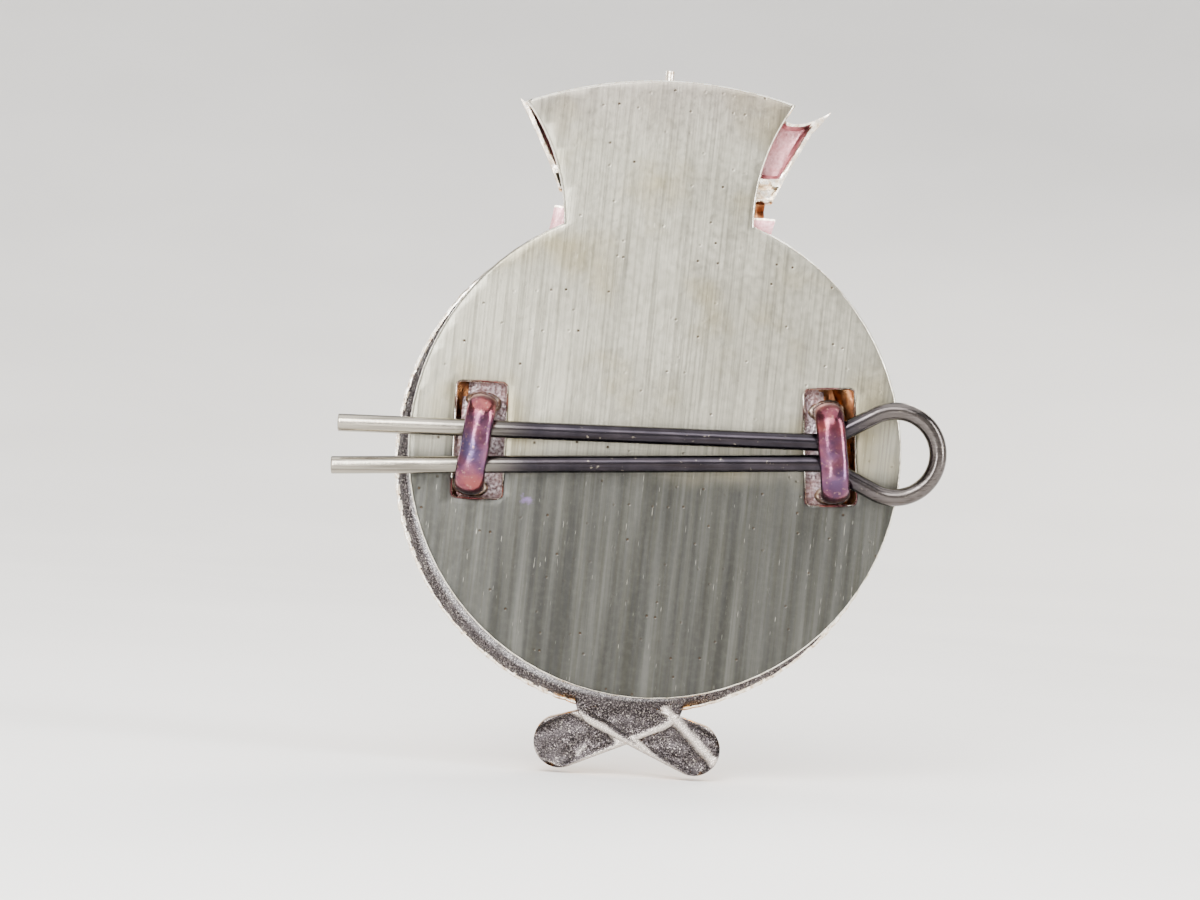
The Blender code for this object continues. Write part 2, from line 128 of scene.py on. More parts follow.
# Crossing stems
STEM_END = Vector((5.0 * MM, 0, -21.0 * MM))
STEM_END_RADIUS = 1.95 * MM
STEM_ROOT_RADIUS = 2.35 * MM
STEM_LENGTH = 7.5 * MM
STEM_SLOPE = math.radians(27)
STEM_THICKNESS = 1.9 * MM
STEM_TRIM_RADIUS = 17.3 * MM
STEM_EDGE = 0.16 * MM
STEM_CELL = 0.2 * MM
STEM_DISH = 0.2 * MM
STEM_LUMPS = 0.45 * MM
STEM_GRAIN = 0.06 * MM
STEM_BY_RIM = 0.12 * MM
STEM_SWELL = 0.35 * MM
STEM_BARK = 0.09 * MM
STEM_OVERLAP = 0.06 * MM
BINDING_TURNS = 4
BINDING_TOP = -18.35 * MM
BINDING_PITCH = 0.62 * MM
BINDING_WIRE = 0.6 * MM
BINDING_HALF_WIDTH = 1.75 * MM
BINDING_RISE = 0.75 * MM

# Crown, struck as one piece with the stepped collar under it
SEAT_RADIUS = 18.65 * MM
COLLAR_TOP = 18.8 * MM
CROWN_FOOT = 20.0 * MM
CROWN_FOOT_HALF = 7.95 * MM
CROWN_FLARE = 3.3 * MM
CROWN_FLARE_POWER = 1.12
CROWN_END_POINT = 26.6 * MM
CROWN_MIDDLE_POINT = 28.0 * MM
CROWN_DIP = 1.05 * MM
CROWN_PANELS = 6
CROWN_COLUMNS = 144
CROWN_ROWS = 40
CROWN_RIB = 0.34 * MM
CROWN_FRONT = 1.7 * MM
CROWN_BELLY = 0.75 * MM
CROWN_EDGE_FALL = 0.35 * MM
CROWN_EDGE_WOBBLE = 0.16 * MM
CROWN_WALL = 0.7 * MM
BAND_BORDER = 0.6 * MM
BAND_HOLLOW = 0.75 * MM
POCKET_DEPTH = 1.5 * MM
POCKET_FOOT = 21.75 * MM
POCKET_LIP = 0.3 * MM
COLLAR_SHELF = 18.4 * MM
FINIAL_TOP = 29.4 * MM
FINIAL_ROOT = 1.2 * MM
FINIAL_ASIDE = -0.1 * MM
FINIAL_DEPTH = 0.95 * MM
TIP_CURL = Vector((0.6 * MM, 0, 0.38 * MM))
CROWN_SHIFT = -0.35 * MM
BAND_PELLETS = 13
BAND_HALF_WIDTH = 7.626 * MM
BAND_MIDDLE = Vector((0, -1.85 * MM, 20.92 * MM))
PEARL_RADIUS = 0.46 * MM
LOZENGE_SIZE = 0.456 * MM
POINT_PELLET_RADIUS = 0.5 * MM
POINT_PELLET_REACH = 0.985 * (CROWN_FOOT_HALF + CROWN_FLARE)
POINT_PELLET_DROP = 0.62 * MM
FINIAL_FOOT_RADIUS = 0.28 * MM
FINIAL_TOP_RADIUS = 0.33 * MM

# Lugs: flattened copper wire, bent into a staple
LUG_WIDTH = 2.15 * MM
LUG_DEPTH = 1.25 * MM
LUG_LEG_GAP = 5.04 * MM
LUG_SHOULDER = 1.5 * MM
LUG_TOP = 4.175 * MM
LUG_ROOT = 0.05 * MM
SOLDER_LIFT = 0.14 * MM
SOLDER_FOOT = 0.64
SOLDER_NECK = 0.49
SOLDER_HEIGHT = 0.36
LUG_LEAN = {"lug_tip_side": math.radians(6.0), "lug_eye_side": math.radians(-8.0)}

# Split pin: round wire, two legs and an open eye
PIN_WIRE = 1.3 * MM
PIN_EYE_RADIUS = 3.18 * MM
PIN_KNEE = Vector((5.4 * MM, 0.76 * MM))
PIN_KNEE_RADIUS = 1.5 * MM
PIN_TIP_HALF_GAP = 1.57 * MM
PIN_LEG_DIFFERENCE = 0.45 * MM
PIN_SLOPE = math.radians(2.5)
NICK_PLACE = Vector((17.2 * MM, 0, 3.05 * MM))
NICK_SLOPE = math.radians(-7)
NICK_HALF_LENGTH = 1.1 * MM
NICK_HALF_WIDTH = 0.14 * MM
NICK_DEPTH = 0.16 * MM

# Back plate
PLATE_TURN = math.radians(-2.5)
PLATE_ROLLED_EDGE = 0.22 * MM
PLATE_CELL = 0.9 * MM
INK_SPOT = Vector((8.6 * MM, 1.0 * MM, -3.2 * MM))
PLATE_WAVE = 0.09 * MM
PLATE_WAVE_SPAN = 11 * MM
SLOT_DENT = Vector((-13.4 * MM, 0, -3.4 * MM))
SLOT_DENT_DEPTH = 0.14 * MM
SLOT_DENT_HALF = (1.5 * MM, 1.1 * MM)
CREASE = Vector((8.9 * MM, 0, 25.0 * MM))
CREASE_ACROSS = Vector((0.8, 0, 0.6))
CREASE_SLOPE = 0.1

# Camera: it looks at the badge's back, rolled a little
VIEW_ROLL = math.radians(3.6)
VIEW_AIM = Vector((3.36 * MM, 1.05 * MM, 0.84 * MM))
VIEW_DISTANCE = 250 * MM
VIEW_WIDTH = 88.9 * MM
SENSOR_WIDTH = 36.0
FLOOR_GAP = 0.4 * MM
FLOOR_FLAT = 0.34
SWEEP_RADIUS = 0.9


# ---------------------------------------------------------------- materials


def linear(hex_code):
    """An sRGB hex colour as linear RGBA."""
    shares = [int(hex_code[i : i + 2], 16) / 255 for i in (1, 3, 5)]
    return tuple(s / 12.92 if s <= 0.04045 else ((s + 0.055) / 1.055) ** 2.4 for s in shares) + (1.0,)


def add(tree, kind, inputs, stops=(), **settings):
    """Adds a node. An input takes a value, a hex colour or another node; stops fill a colour ramp."""
    node = tree.nodes.new(kind)
    for key, value in settings.items():
        setattr(node, key, value)
    for key, value in inputs.items():
        if isinstance(value, bpy.types.Node):
            value = next(socket for socket in value.outputs if socket.enabled)
        if isinstance(value, bpy.types.NodeSocket):
            tree.links.new(value, node.inputs[key])
        else:
            node.inputs[key].default_value = linear(value) if isinstance(value, str) else value
    if stops:
        for element, (position, colour) in zip(node.color_ramp.elements, stops):
            element.position = position
            element.color = linear(colour)
        for position, colour in stops[2:]:
            node.color_ramp.elements.new(position).color = linear(colour)
    return node


def empty_material(name):
    """A material without nodes, its node tree, and the place on the piece that patterns read."""
    material = bpy.data.materials.new(name)
    material.use_nodes = True
    tree = material.node_tree
    tree.nodes.clear()
    return material, tree, add(tree, "ShaderNodeTexCoord", {}).outputs["Object"]


def stained(tree, colour, stain, pattern, low, high, share=1.0):
    """A colour with a stain over it that comes in as a pattern runs from low to high."""
    ends = {"From Min": low, "From Max": high, "To Max": share}
    cover = add(tree, "ShaderNodeMapRange", {"Value": pattern, **ends})
    return add(tree, "ShaderNodeMix", {0: cover, 6: colour, 7: stain}, data_type="RGBA")


def streaks(tree, place, turn, size, detail):
    """A noise drawn out into streaks of a size along X, Y and Z, turned about Y."""
    cells = {"Vector": place, "Rotation": (0, turn, 0), "Scale": size}
    drawn = add(tree, "ShaderNodeMapping", cells, vector_type="TEXTURE")
    return add(tree, "ShaderNodeTexNoise", {"Vector": drawn, "Scale": 1, "Detail": detail})


def dark_in_hollows(tree, colour, dark, reach, low, high, share):
    """A colour that turns dark where other metal within reach hides the light."""
    sky = add(tree, "ShaderNodeAmbientOcclusion", {"Distance": reach}, samples=6).outputs["AO"]
    return stained(tree, colour, dark, sky, low, high, share)


def finished_metal(material, tree, colour, gloss, bumps):
    """Ends a bare metal: its gloss is (pattern, low, high, roughness at low, at high), its bumps
    are (pattern, depth) from the finest up, and a depth below zero is a dent."""
    pattern, low, high, rough_low, rough_high = gloss
    ends = {"From Min": low, "From Max": high, "To Min": rough_low, "To Max": rough_high}
    surface = {"Base Color": colour, "Metallic": 1.0}
    surface["Roughness"] = add(tree, "ShaderNodeMapRange", {"Value": pattern, **ends})
    below = {}
    for height, depth in bumps:
        made = add(
            tree, "ShaderNodeBump", {"Height": height, "Distance": abs(depth), **below}, invert=depth < 0
        )
        below = {"Normal": made}
    shader = add(tree, "ShaderNodeBsdfPrincipled", {**surface, **below})
    add(tree, "ShaderNodeOutputMaterial", {"Surface": shader})
    return material


def speckled_metal(name, size, tones, gloss, depth):
    """A metal whose tone, gloss and bumps all follow one noise with specks of a size."""
    material, tree, place = empty_material(name)
    specks = add(tree, "ShaderNodeTexNoise", {"Vector": place, "Scale": 1 / size, "Detail": 3})
    colour = add(tree, "ShaderNodeValToRGB", {"Fac": specks}, stops=tones)
    return finished_metal(material, tree, colour, (specks, *gloss), [(specks, depth)])


def dull_sheet_brass():
    """Rolled sheet brass gone dull: olive grey, darker low down where it is tarnished and where shade is
    painted, pinkish grey at the top as a painted reflection, streaked along the rolling, pitted.
    """
    material, tree, place = empty_material("dull_sheet_brass")
    lines = streaks(tree, place, PLATE_TURN, (0.16 * MM, 2 * MM, 9 * MM), 3)
    bands = streaks(tree, place, PLATE_TURN, (0.9 * MM, 6 * MM, 26 * MM), 3)
    clouds = add(tree, "ShaderNodeTexNoise", {"Vector": place, "Scale": 1 / (6 * MM), "Detail": 5})
    mottle = add(tree, "ShaderNodeTexNoise", {"Vector": place, "Scale": 1 / (0.5 * MM), "Detail": 3})
    height = add(tree, "ShaderNodeSeparateXYZ", {"Vector": place}).outputs["Z"]
    # Below about the middle the sheet turns darker where it is tarnished, and darker still as painted shade
    ragged = add(tree, "ShaderNodeMath", {0: clouds, 1: 4 * MM, 2: height}, operation="MULTIPLY_ADD")
    lower = add(
        tree, "ShaderNodeMapRange", {"Value": ragged, "From Min": 3.5 * MM, "From Max": 0.5 * MM},
        interpolation_type="SMOOTHSTEP",
    )
    clean = add(
        tree, "ShaderNodeValToRGB", {"Fac": clouds},
        stops=((0.32, "#9E9B8E"), (0.5, "#928F82"), (0.68, "#867F69")),
    )
    tarnish = add(
        tree, "ShaderNodeValToRGB", {"Fac": bands},
        stops=((0.34, "#555551"), (0.5, "#464643"), (0.66, "#373735")),
    )
    colour = add(tree, "ShaderNodeMix", {0: lower, 6: clean, 7: tarnish}, data_type="RGBA")
    colour = stained(tree, colour, "#3B3A31", lines, 0.42, 0.68, 0.42)
    colour = stained(tree, colour, "#77766C", mottle, 0.45, 0.75, 0.08)
    # Above 23 mm the sheet turns a darker pinkish grey: painted shade with a painted pink reflection
    colour = stained(tree, colour, "#6F6561", height, 23 * MM, 28 * MM, 0.45)

    # Short bright ticks along the rolling
    ticks = streaks(tree, place, PLATE_TURN, (0.1 * MM, 4 * MM, 1.1 * MM), 1)
    colour = stained(tree, colour, "#C9C6B8", ticks, 0.74, 0.82, 0.4)

    # Corrosion pits 0.2 mm across, in some of the cells of a 1.4 mm grid
    seen_flat = add(
        tree, "ShaderNodeMapping", {"Vector": place, "Rotation": (math.pi / 2, 0, 0)}, vector_type="TEXTURE"
    )
    cells = add(
        tree, "ShaderNodeTexVoronoi", {"Vector": seen_flat, "Scale": 1 / (1.4 * MM)},
        voronoi_dimensions="2D",
    )
    spot = add(
        tree, "ShaderNodeMapRange",
        {"Value": cells.outputs["Distance"], "From Min": 0.09, "From Max": 0.04},
    )
    chosen = add(
        tree, "ShaderNodeMapRange", {"Value": cells.outputs["Color"], "From Min": 0.6, "From Max": 0.85}
    )
    pit = add(tree, "ShaderNodeMath", {0: spot, 1: chosen}, operation="MULTIPLY")
    colour = add(tree, "ShaderNodeMix", {0: pit, 6: colour, 7: "#3A3128"}, data_type="RGBA")

    # A spot of old ink below the pin
    from_ink = add(tree, "ShaderNodeVectorMath", {0: place, 1: INK_SPOT}, operation="DISTANCE")
    from_ink = add(tree, "ShaderNodeMath", {0: mottle, 1: 1.4 * MM, 2: from_ink}, operation="MULTIPLY_ADD")
    colour = stained(tree, colour, "#6E5A86", from_ink, 1.12 * MM, 0.8 * MM, 0.6)

    return finished_metal(
        material, tree, colour, (mottle, 0.3, 0.7, 0.4, 0.3),
        [(lines, 0.005 * MM), (clouds, 0.12 * MM), (pit, -0.03 * MM)],
    )


def struck_grain():
    """Struck gilding metal, unpolished behind: a brown-grey sugar grain with painted glints, paler by the
    plate.

    Where the piece's "polish" attribute rises to 1, the grain is rubbed flat and bright.
    """
    material, tree, place = empty_material("struck_gilding_metal")
    # The real grain is about 0.05 mm; it is drawn twice as coarse so that it shows
    sugar = add(tree, "ShaderNodeTexNoise", {"Vector": place, "Scale": 1 / (0.11 * MM), "Detail": 3})
    grit = add(tree, "ShaderNodeTexVoronoi", {"Vector": place, "Scale": 1 / (0.09 * MM)})
    patches = add(tree, "ShaderNodeTexNoise", {"Vector": place, "Scale": 1 / (1.5 * MM), "Detail": 3})
    across = add(tree, "ShaderNodeVectorMath", {0: place, 1: (1, 0, 1)}, operation="MULTIPLY")
    radius = add(tree, "ShaderNodeVectorMath", {0: across}, operation="LENGTH")
    by_plate = add(
        tree, "ShaderNodeMapRange",
        {"Value": radius, "From Min": 17.75 * MM, "From Max": 17.35 * MM, "To Max": 0.85},
    )
    brown = add(
        tree, "ShaderNodeValToRGB", {"Fac": sugar},
        stops=((0.36, "#1F1C1C"), (0.5, "#393435"), (0.66, "#726B6B")),
    )
    pale = add(tree, "ShaderNodeValToRGB", {"Fac": sugar}, stops=((0.36, "#646164"), (0.62, "#C2BFC1")))
    colour = add(tree, "ShaderNodeMix", {0: by_plate, 6: brown, 7: pale}, data_type="RGBA")
    colour = stained(tree, colour, "#4E494A", patches, 0.45, 0.65, 0.55)
    # Pale specks on some grit cells: painted glints of the grain
    colour = stained(tree, colour, "#D8CFC4", grit.outputs["Color"], 0.8, 0.88, 0.35)
    polish = add(tree, "ShaderNodeAttribute", {}, attribute_name="polish").outputs["Fac"]
    ragged = add(tree, "ShaderNodeMath", {0: sugar, 1: 0.5, 2: polish}, operation="MULTIPLY_ADD")
    colour = stained(tree, colour, "#CBC1B8", ragged, 0.56, 1.15, 0.9)
    return finished_metal(
        material, tree, colour, (sugar, 0.35, 0.65, 0.42, 0.22),
        [(sugar, 0.05 * MM), (grit.outputs["Color"], 0.02 * MM)],
    )


def satin_gilt():
    """Gilt brushed to a satin: an even soft gold between the polished fillets."""
    material, tree, place = empty_material("satin_gilt")
    brushing = streaks(tree, place, 0.6, (0.1 * MM, 1 * MM, 2 * MM), 2)
    clouds = add(tree, "ShaderNodeTexNoise", {"Vector": place, "Scale": 1 / (2.4 * MM), "Detail": 3})
    colour = add(tree, "ShaderNodeValToRGB", {"Fac": clouds}, stops=((0.35, "#D9A85C"), (0.7, "#C08E44")))
    gloss = (brushing, 0.3, 0.7, 0.3, 0.42)
    return finished_metal(material, tree, colour, gloss, [(brushing, 0.008 * MM)])


def pickled_metal(name, rose, tone_stops, grain_depth, shade):
    """Gilding metal as the pickle leaves it: matt and pinkish, with a grain, and painted shade in its
    corners.
    """
    material, tree, place = empty_material(name)
    grain = add(tree, "ShaderNodeTexNoise", {"Vector": place, "Scale": 1 / (0.22 * MM), "Detail": 3})
    patches = add(tree, "ShaderNodeTexNoise", {"Vector": place, "Scale": 1 / (1.6 * MM), "Detail": 3})
    pale = add(tree, "ShaderNodeValToRGB", {"Fac": grain}, stops=tone_stops)
    colour = stained(tree, pale, rose, patches, 0.42, 0.64, 0.6)
    # Painted shade: darker where other metal within reach hides the light
    colour = dark_in_hollows(tree, colour, "#3B2420", 1.3 * MM, 0.75, 0.3, shade)
    return finished_metal(material, tree, colour, (grain, 0.3, 0.7, 0.5, 0.32), [(grain, grain_depth)])


def heat_tinted_metal():
    """The smooth hollow behind the ring: bare gilding metal, orange to brown from the brazing heat."""
    material, tree, place = empty_material("heat_tinted_gilding_metal")
    heat = add(tree, "ShaderNodeTexNoise", {"Vector": place, "Scale": 1 / (1.1 * MM), "Detail": 3})
    colour = add(
        tree, "ShaderNodeValToRGB", {"Fac": heat},
        stops=((0.35, "#B88259"), (0.52, "#8A583A"), (0.68, "#452A1E")),
    )
    # Painted shade: the tint darkens where other metal within reach hides the light
    colour = dark_in_hollows(tree, colour, "#2A1810", 1.3 * MM, 0.75, 0.3, 0.85)
    return finished_metal(material, tree, colour, (heat, 0.3, 0.7, 0.24, 0.4), [(heat, 0.08 * MM)])


def burnished_gilt():
    """Fire gilding over gilding metal, burnished: warm gold, fine polishing lines, dark in the hollows."""
    material, tree, place = empty_material("burnished_gilt")
    lines = streaks(tree, place, 0.7, (0.12 * MM, 0.12 * MM, 1.6 * MM), 2)
    clouds = add(tree, "ShaderNodeTexNoise", {"Vector": place, "Scale": 1 / (2.6 * MM), "Detail": 3})
    gold = add(tree, "ShaderNodeValToRGB", {"Fac": clouds}, stops=((0.35, "#DCA347"), (0.7, "#BF8733")))
    colour = dark_in_hollows(tree, gold, "#4E2B12", 0.8 * MM, 0.85, 0.35, 0.92)
    return finished_metal(material, tree, colour, (lines, 0.3, 0.7, 0.14, 0.27), [(lines, 0.003 * MM)])


def frosted_gilt():
    """Gilt ground left frosted by a fine punch, so that the polished relief stands out from it."""
    material, tree, place = empty_material("frosted_gilt")
    # A matting punch leaves dots of about 0.15 mm; they are drawn at 0.4 mm so that they show
    punched = add(tree, "ShaderNodeTexVoronoi", {"Vector": place, "Scale": 1 / (0.4 * MM)})
    punch = punched.outputs["Distance"]
    clouds = add(tree, "ShaderNodeTexNoise", {"Vector": place, "Scale": 1 / (3 * MM), "Detail": 3})
    gold = add(tree, "ShaderNodeValToRGB", {"Fac": clouds}, stops=((0.3, "#B27E3A"), (0.7, "#925F25")))
    colour = stained(tree, gold, "#6B431C", punch, 0.4, 0.7, 0.5)
    return finished_metal(material, tree, colour, (punch, 0.1, 0.6, 0.38, 0.52), [(punch, -0.05 * MM)])


def brazed_copper():
    """Copper wire after brazing: glossy rose red at its ends, clouded violet and steel blue by oxide, the
    violet partly a painted reflection.
    """
    material, tree, place = empty_material("brazed_copper_wire")
    clouds = add(tree, "ShaderNodeTexNoise", {"Vector": place, "Scale": 1 / (1.5 * MM), "Detail": 3})
    oxide = add(tree, "ShaderNodeTexNoise", {"Vector": place, "Scale": 1 / (2.3 * MM), "Detail": 2})
    scale = add(tree, "ShaderNodeTexNoise", {"Vector": place, "Scale": 1 / (0.25 * MM), "Detail": 3})
    height = add(tree, "ShaderNodeSeparateXYZ", {"Vector": place}).outputs["Z"]
    from_middle = add(tree, "ShaderNodeMath", {0: height, 1: 0.6 * MM}, operation="SUBTRACT")
    from_middle = add(tree, "ShaderNodeMath", {0: from_middle}, operation="ABSOLUTE")
    middle = add(
        tree, "ShaderNodeMapRange",
        {"Value": from_middle, "From Min": 3.4 * MM, "From Max": 0.4 * MM},
    )
    colour = add(
        tree, "ShaderNodeValToRGB", {"Fac": clouds},
        stops=((0.34, "#8B4C4B"), (0.5, "#6C3943"), (0.66, "#482A37")),
    )
    # The violet cloud in the middle is partly oxide and partly a painted reflection of a purple surround
    violet = add(tree, "ShaderNodeMath", {0: middle, 1: oxide}, operation="MULTIPLY")
    colour = stained(tree, colour, "#4E4767", violet, 0.1, 0.65, 0.8)
    colour = stained(tree, colour, "#A87C74", scale, 0.6, 0.72, 0.6)
    return finished_metal(
        material, tree, colour, (clouds, 0.3, 0.7, 0.16, 0.26),
        [(clouds, 0.05 * MM), (scale, 0.01 * MM)],
    )


def dull_brass_wire():
    """Drawn brass wire gone brown-grey: die lines along it, and paler towards the tips."""
    material, tree, place = empty_material("dull_brass_wire")
    lines = streaks(tree, place, PIN_SLOPE, (7 * MM, 0.16 * MM, 0.16 * MM), 2)
    blotches = add(tree, "ShaderNodeTexNoise", {"Vector": place, "Scale": 1 / (1.6 * MM), "Detail": 4})
    chafes = add(tree, "ShaderNodeTexNoise", {"Vector": place, "Scale": 1 / (0.45 * MM), "Detail": 3})
    along = add(tree, "ShaderNodeSeparateXYZ", {"Vector": place}).outputs["X"]
    tips = add(
        tree, "ShaderNodeMapRange",
        {"Value": along, "From Min": 8 * MM, "From Max": 17 * MM, "To Max": 0.85},
        interpolation_type="SMOOTHSTEP",
    )
    colour = add(tree, "ShaderNodeValToRGB", {"Fac": blotches}, stops=((0.35, "#353136"), (0.7, "#232126")))
    colour = add(tree, "ShaderNodeMix", {0: tips, 6: colour, 7: "#A29C8F"}, data_type="RGBA")
    colour = stained(tree, colour, "#66605C", along, -14.5 * MM, -18 * MM, 0.65)
    colour = stained(tree, colour, "#221D1C", lines, 0.45, 0.7, 0.6)
    colour = stained(tree, colour, "#A59C8C", chafes, 0.68, 0.76, 0.5)
    return finished_metal(
        material, tree, colour, (blotches, 0.3, 0.7, 0.14, 0.24),
        [(lines, 0.006 * MM), (chafes, 0.01 * MM)],
    )


def pale_board():
    """Matt painted board for the studio floor and the backdrop that it sweeps up into."""
    material, tree, place = empty_material("pale_painted_board")
    tone = add(tree, "ShaderNodeTexNoise", {"Vector": place, "Scale": 1 / (60 * MM), "Detail": 2})
    colour = add(tree, "ShaderNodeValToRGB", {"Fac": tone}, stops=((0.3, "#F1EFEC"), (0.7, "#EBE9E6")))
    shader = add(tree, "ShaderNodeBsdfPrincipled", {"Base Color": colour, "Roughness": 0.7})
    add(tree, "ShaderNodeOutputMaterial", {"Surface": shader})
    return material


# ---------------------------------------------------------------- shaping


def finish_piece(name, shape, materials, body="front_badge", stands_for=(), sharp=38):
    """Turns a finished bmesh into a piece that rides on a body, rounded faces smooth."""
    mesh = bpy.data.meshes.new(name)
    shape.to_mesh(mesh)
    shape.free()
    mesh.shade_smooth()
    mesh.set_sharp_from_angle(angle=math.radians(sharp))
    for material in materials:
        mesh.materials.append(material)
    piece = bpy.data.objects.new(name, mesh)
    bpy.context.scene.collection.objects.link(piece)
    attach(piece, body)
    if stands_for:
        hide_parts(*stands_for)


def paint(shape, index, chosen):
    """Gives the faces that chosen() picks another of the piece's materials."""
    shape.normal_update()
    for face in shape.faces:
        if chosen(face):
            face.material_index = index


def looks_back(face):
    """True for a face that looks out of the badge's back."""
    return face.normal.y > 0.3


def off_axis(face):
    """How far a face's middle is from the badge's axis."""
    return math.hypot(*face.calc_center_median().xz)


def new_verts(made):
    """The vertices among what an operator made."""
    return [item for item in made["geom"] if isinstance(item, bmesh.types.BMVert)]


def soften(shape, edges, offset, segments=2):
    """Rounds off edges."""
    bmesh.ops.bevel(
        shape, geom=edges, offset=offset, segments=segments, profile=0.5, affect="EDGES", material=-1
    )


def ball(shape, place, radius, around=8, up=6):
    """A small ball at a place, which may also squash or turn it."""
    bmesh.ops.create_uvsphere(shape, u_segments=around, v_segments=up, radius=radius, matrix=place)


def bumped(shape, chosen, size, height, seed=0.0):
    """Pushes the chosen vertices in and out along their normals by a smooth noise."""
    shape.normal_update()
    shift = Vector((seed, -seed, 2 * seed))
    moves = []
    for vert in shape.verts:
        if chosen(vert.co):
            moves.append((vert, vert.normal * height * noise.noise(vert.co / size + shift)))
    for vert, move in moves:
        vert.co += move


def arc(middle, radius, start, end, steps):
    """Points on an arc in a flat drawing, from one angle in radians to another."""
    angles = [start + (end - start) * i / steps for i in range(steps + 1)]
    return [middle + radius * Vector((math.cos(a), math.sin(a))) for a in angles]


def rounded(corners, radius, steps):
    """A path through the corners with an arc at each inner one."""
    path = [corners[0]]
    for before, corner, after in zip(corners, corners[1:], corners[2:]):
        to_before = (before - corner).normalized()
        to_after = (after - corner).normalized()
        half = to_before.angle(to_after) / 2
        middle = corner + (to_before + to_after).normalized() * radius / math.sin(half)
        first = corner + to_before * radius / math.tan(half) - middle
        last = corner + to_after * radius / math.tan(half) - middle
        turn = math.atan2(first.cross(last), first.dot(last))
        path += [middle + Matrix.Rotation(turn * i / steps, 2) @ first for i in range(steps + 1)]
    path.append(corners[-1])
    return path


def stretched(path, longest):
    """The same path with points added so that no step is longer than asked."""
    found = [path[0]]
    for before, after in zip(path, path[1:]):
        steps = max(1, math.ceil((after - before).length / longest))
        found += [before.lerp(after, i / steps) for i in range(1, steps + 1)]
    return found


def section_place(path, index, flat):
    """Where a wire's section sits at a point of its path: square to it, its width along flat."""
    before = path[max(index - 1, 0)]
    after = path[min(index + 1, len(path) - 1)]
    heading = (after - before).normalized()
    side = heading.cross(flat).normalized()
    place = Matrix((flat, side, heading)).transposed().to_4x4()
    place.translation = path[index]
    return place


def drawn_wire(path, flat, width, depth, sides, cut_edge):
    """A wire grown along a flat path from one end circle to the other, its cut edges rounded."""
    places = [section_place(path, i, flat) for i in range(len(path))]
    shape = bmesh.new()
    section = places[0] @ Matrix.Diagonal((width / 2, depth / 2, 1, 1))
    bmesh.ops.create_circle(shape, cap_ends=True, segments=sides, radius=1.0, matrix=section)
    edges = shape.edges[:]
    ends = edges[:]
    for before, after in zip(places, places[1:]):
        grown = bmesh.ops.extrude_edge_only(shape, edges=edges)["geom"]
        edges = [item for item in grown if isinstance(item, bmesh.types.BMEdge)]
        verts = [item for item in grown if isinstance(item, bmesh.types.BMVert)]
        bmesh.ops.transform(shape, matrix=after @ before.inverted(), verts=verts)
    bmesh.ops.contextual_create(shape, geom=edges)
    ends += edges
    bmesh.ops.recalc_face_normals(shape, faces=shape.faces)
    if cut_edge:
        soften(shape, ends, cut_edge)
    return shape


def spun(profile, steps):
    """A closed profile of (radius, depth behind the front) points, spun about the badge's axis."""
    shape = bmesh.new()
    verts = [shape.verts.new((radius, depth, 0)) for radius, depth in profile]
    edges = [shape.edges.new((a, b)) for a, b in zip(verts, verts[1:] + verts[:1])]
    bmesh.ops.spin(
        shape, geom=verts + edges, cent=(0, 0, 0), axis=(0, 1, 0), dvec=(0, 0, 0),
        angle=math.tau, steps=steps, use_merge=True, use_duplicate=False,
    )
    bmesh.ops.remove_doubles(shape, verts=shape.verts, dist=1e-7)
    bmesh.ops.recalc_face_normals(shape, faces=shape.faces)
    return shape


def diced(shape, cell):
    """Cuts a flat piece into cells across and up, so that it can bend."""
    low = Vector([min(v.co[i] for v in shape.verts) for i in range(3)])
    high = Vector([max(v.co[i] for v in shape.verts) for i in range(3)])
    for axis in (0, 2):
        normal = Vector((axis == 0, 0, axis == 2))
        for step in range(1, int((high[axis] - low[axis]) / cell) + 1):
            bmesh.ops.bisect_plane(
                shape, geom=shape.verts[:] + shape.edges[:] + shape.faces[:],
                plane_co=low + normal * cell * step, plane_no=normal, dist=1e-7,
            )


def slab(outline, back, front):
    """A flat drawing of (x, z) points as a closed slab between two depths."""
    shape = bmesh.new()
    face = shape.faces.new([shape.verts.new((p[0], back, p[1])) for p in outline])
    verts = new_verts(bmesh.ops.extrude_face_region(shape, geom=[face]))
    bmesh.ops.translate(shape, vec=(0, front - back, 0), verts=verts)
    bmesh.ops.recalc_face_normals(shape, faces=shape.faces)
    return shape


def smooth(value, low, high):
    """0 below low, 1 above high, an even curve between; low may be the larger one."""
    t = max(0.0, min(1.0, (value - low) / (high - low)))
    return t * t * (3 - 2 * t)


# ---------------------------------------------------------------- the front


def half_round(middle, half, base, height, start, end, steps):
    """Part of an ellipse as a list of points, from one angle to another in degrees."""
    angles = [math.radians(start + (end - start) * i / steps) for i in range(steps + 1)]
    return [(middle + half * math.cos(a), base + height * math.sin(a)) for a in angles]


# Rear of the ring's rim, from its outer wall over a thin lip and a rounded crest to the groove
RIM_COURSES = [
    (18.55, -1.3),
    (18.6, -0.95),
    (18.57, -0.78),
    (18.48, -0.68),
    (18.38, -0.68),
    (18.3, -0.58),
    (18.18, -0.4),
    (18.02, -0.24),
    (17.84, -0.13),
    (17.64, -0.07),
    (17.44, -0.04),
    (17.24, -0.05),
    (17.06, -0.1),
    (16.95, -0.2),
    (16.9, -0.4),
]


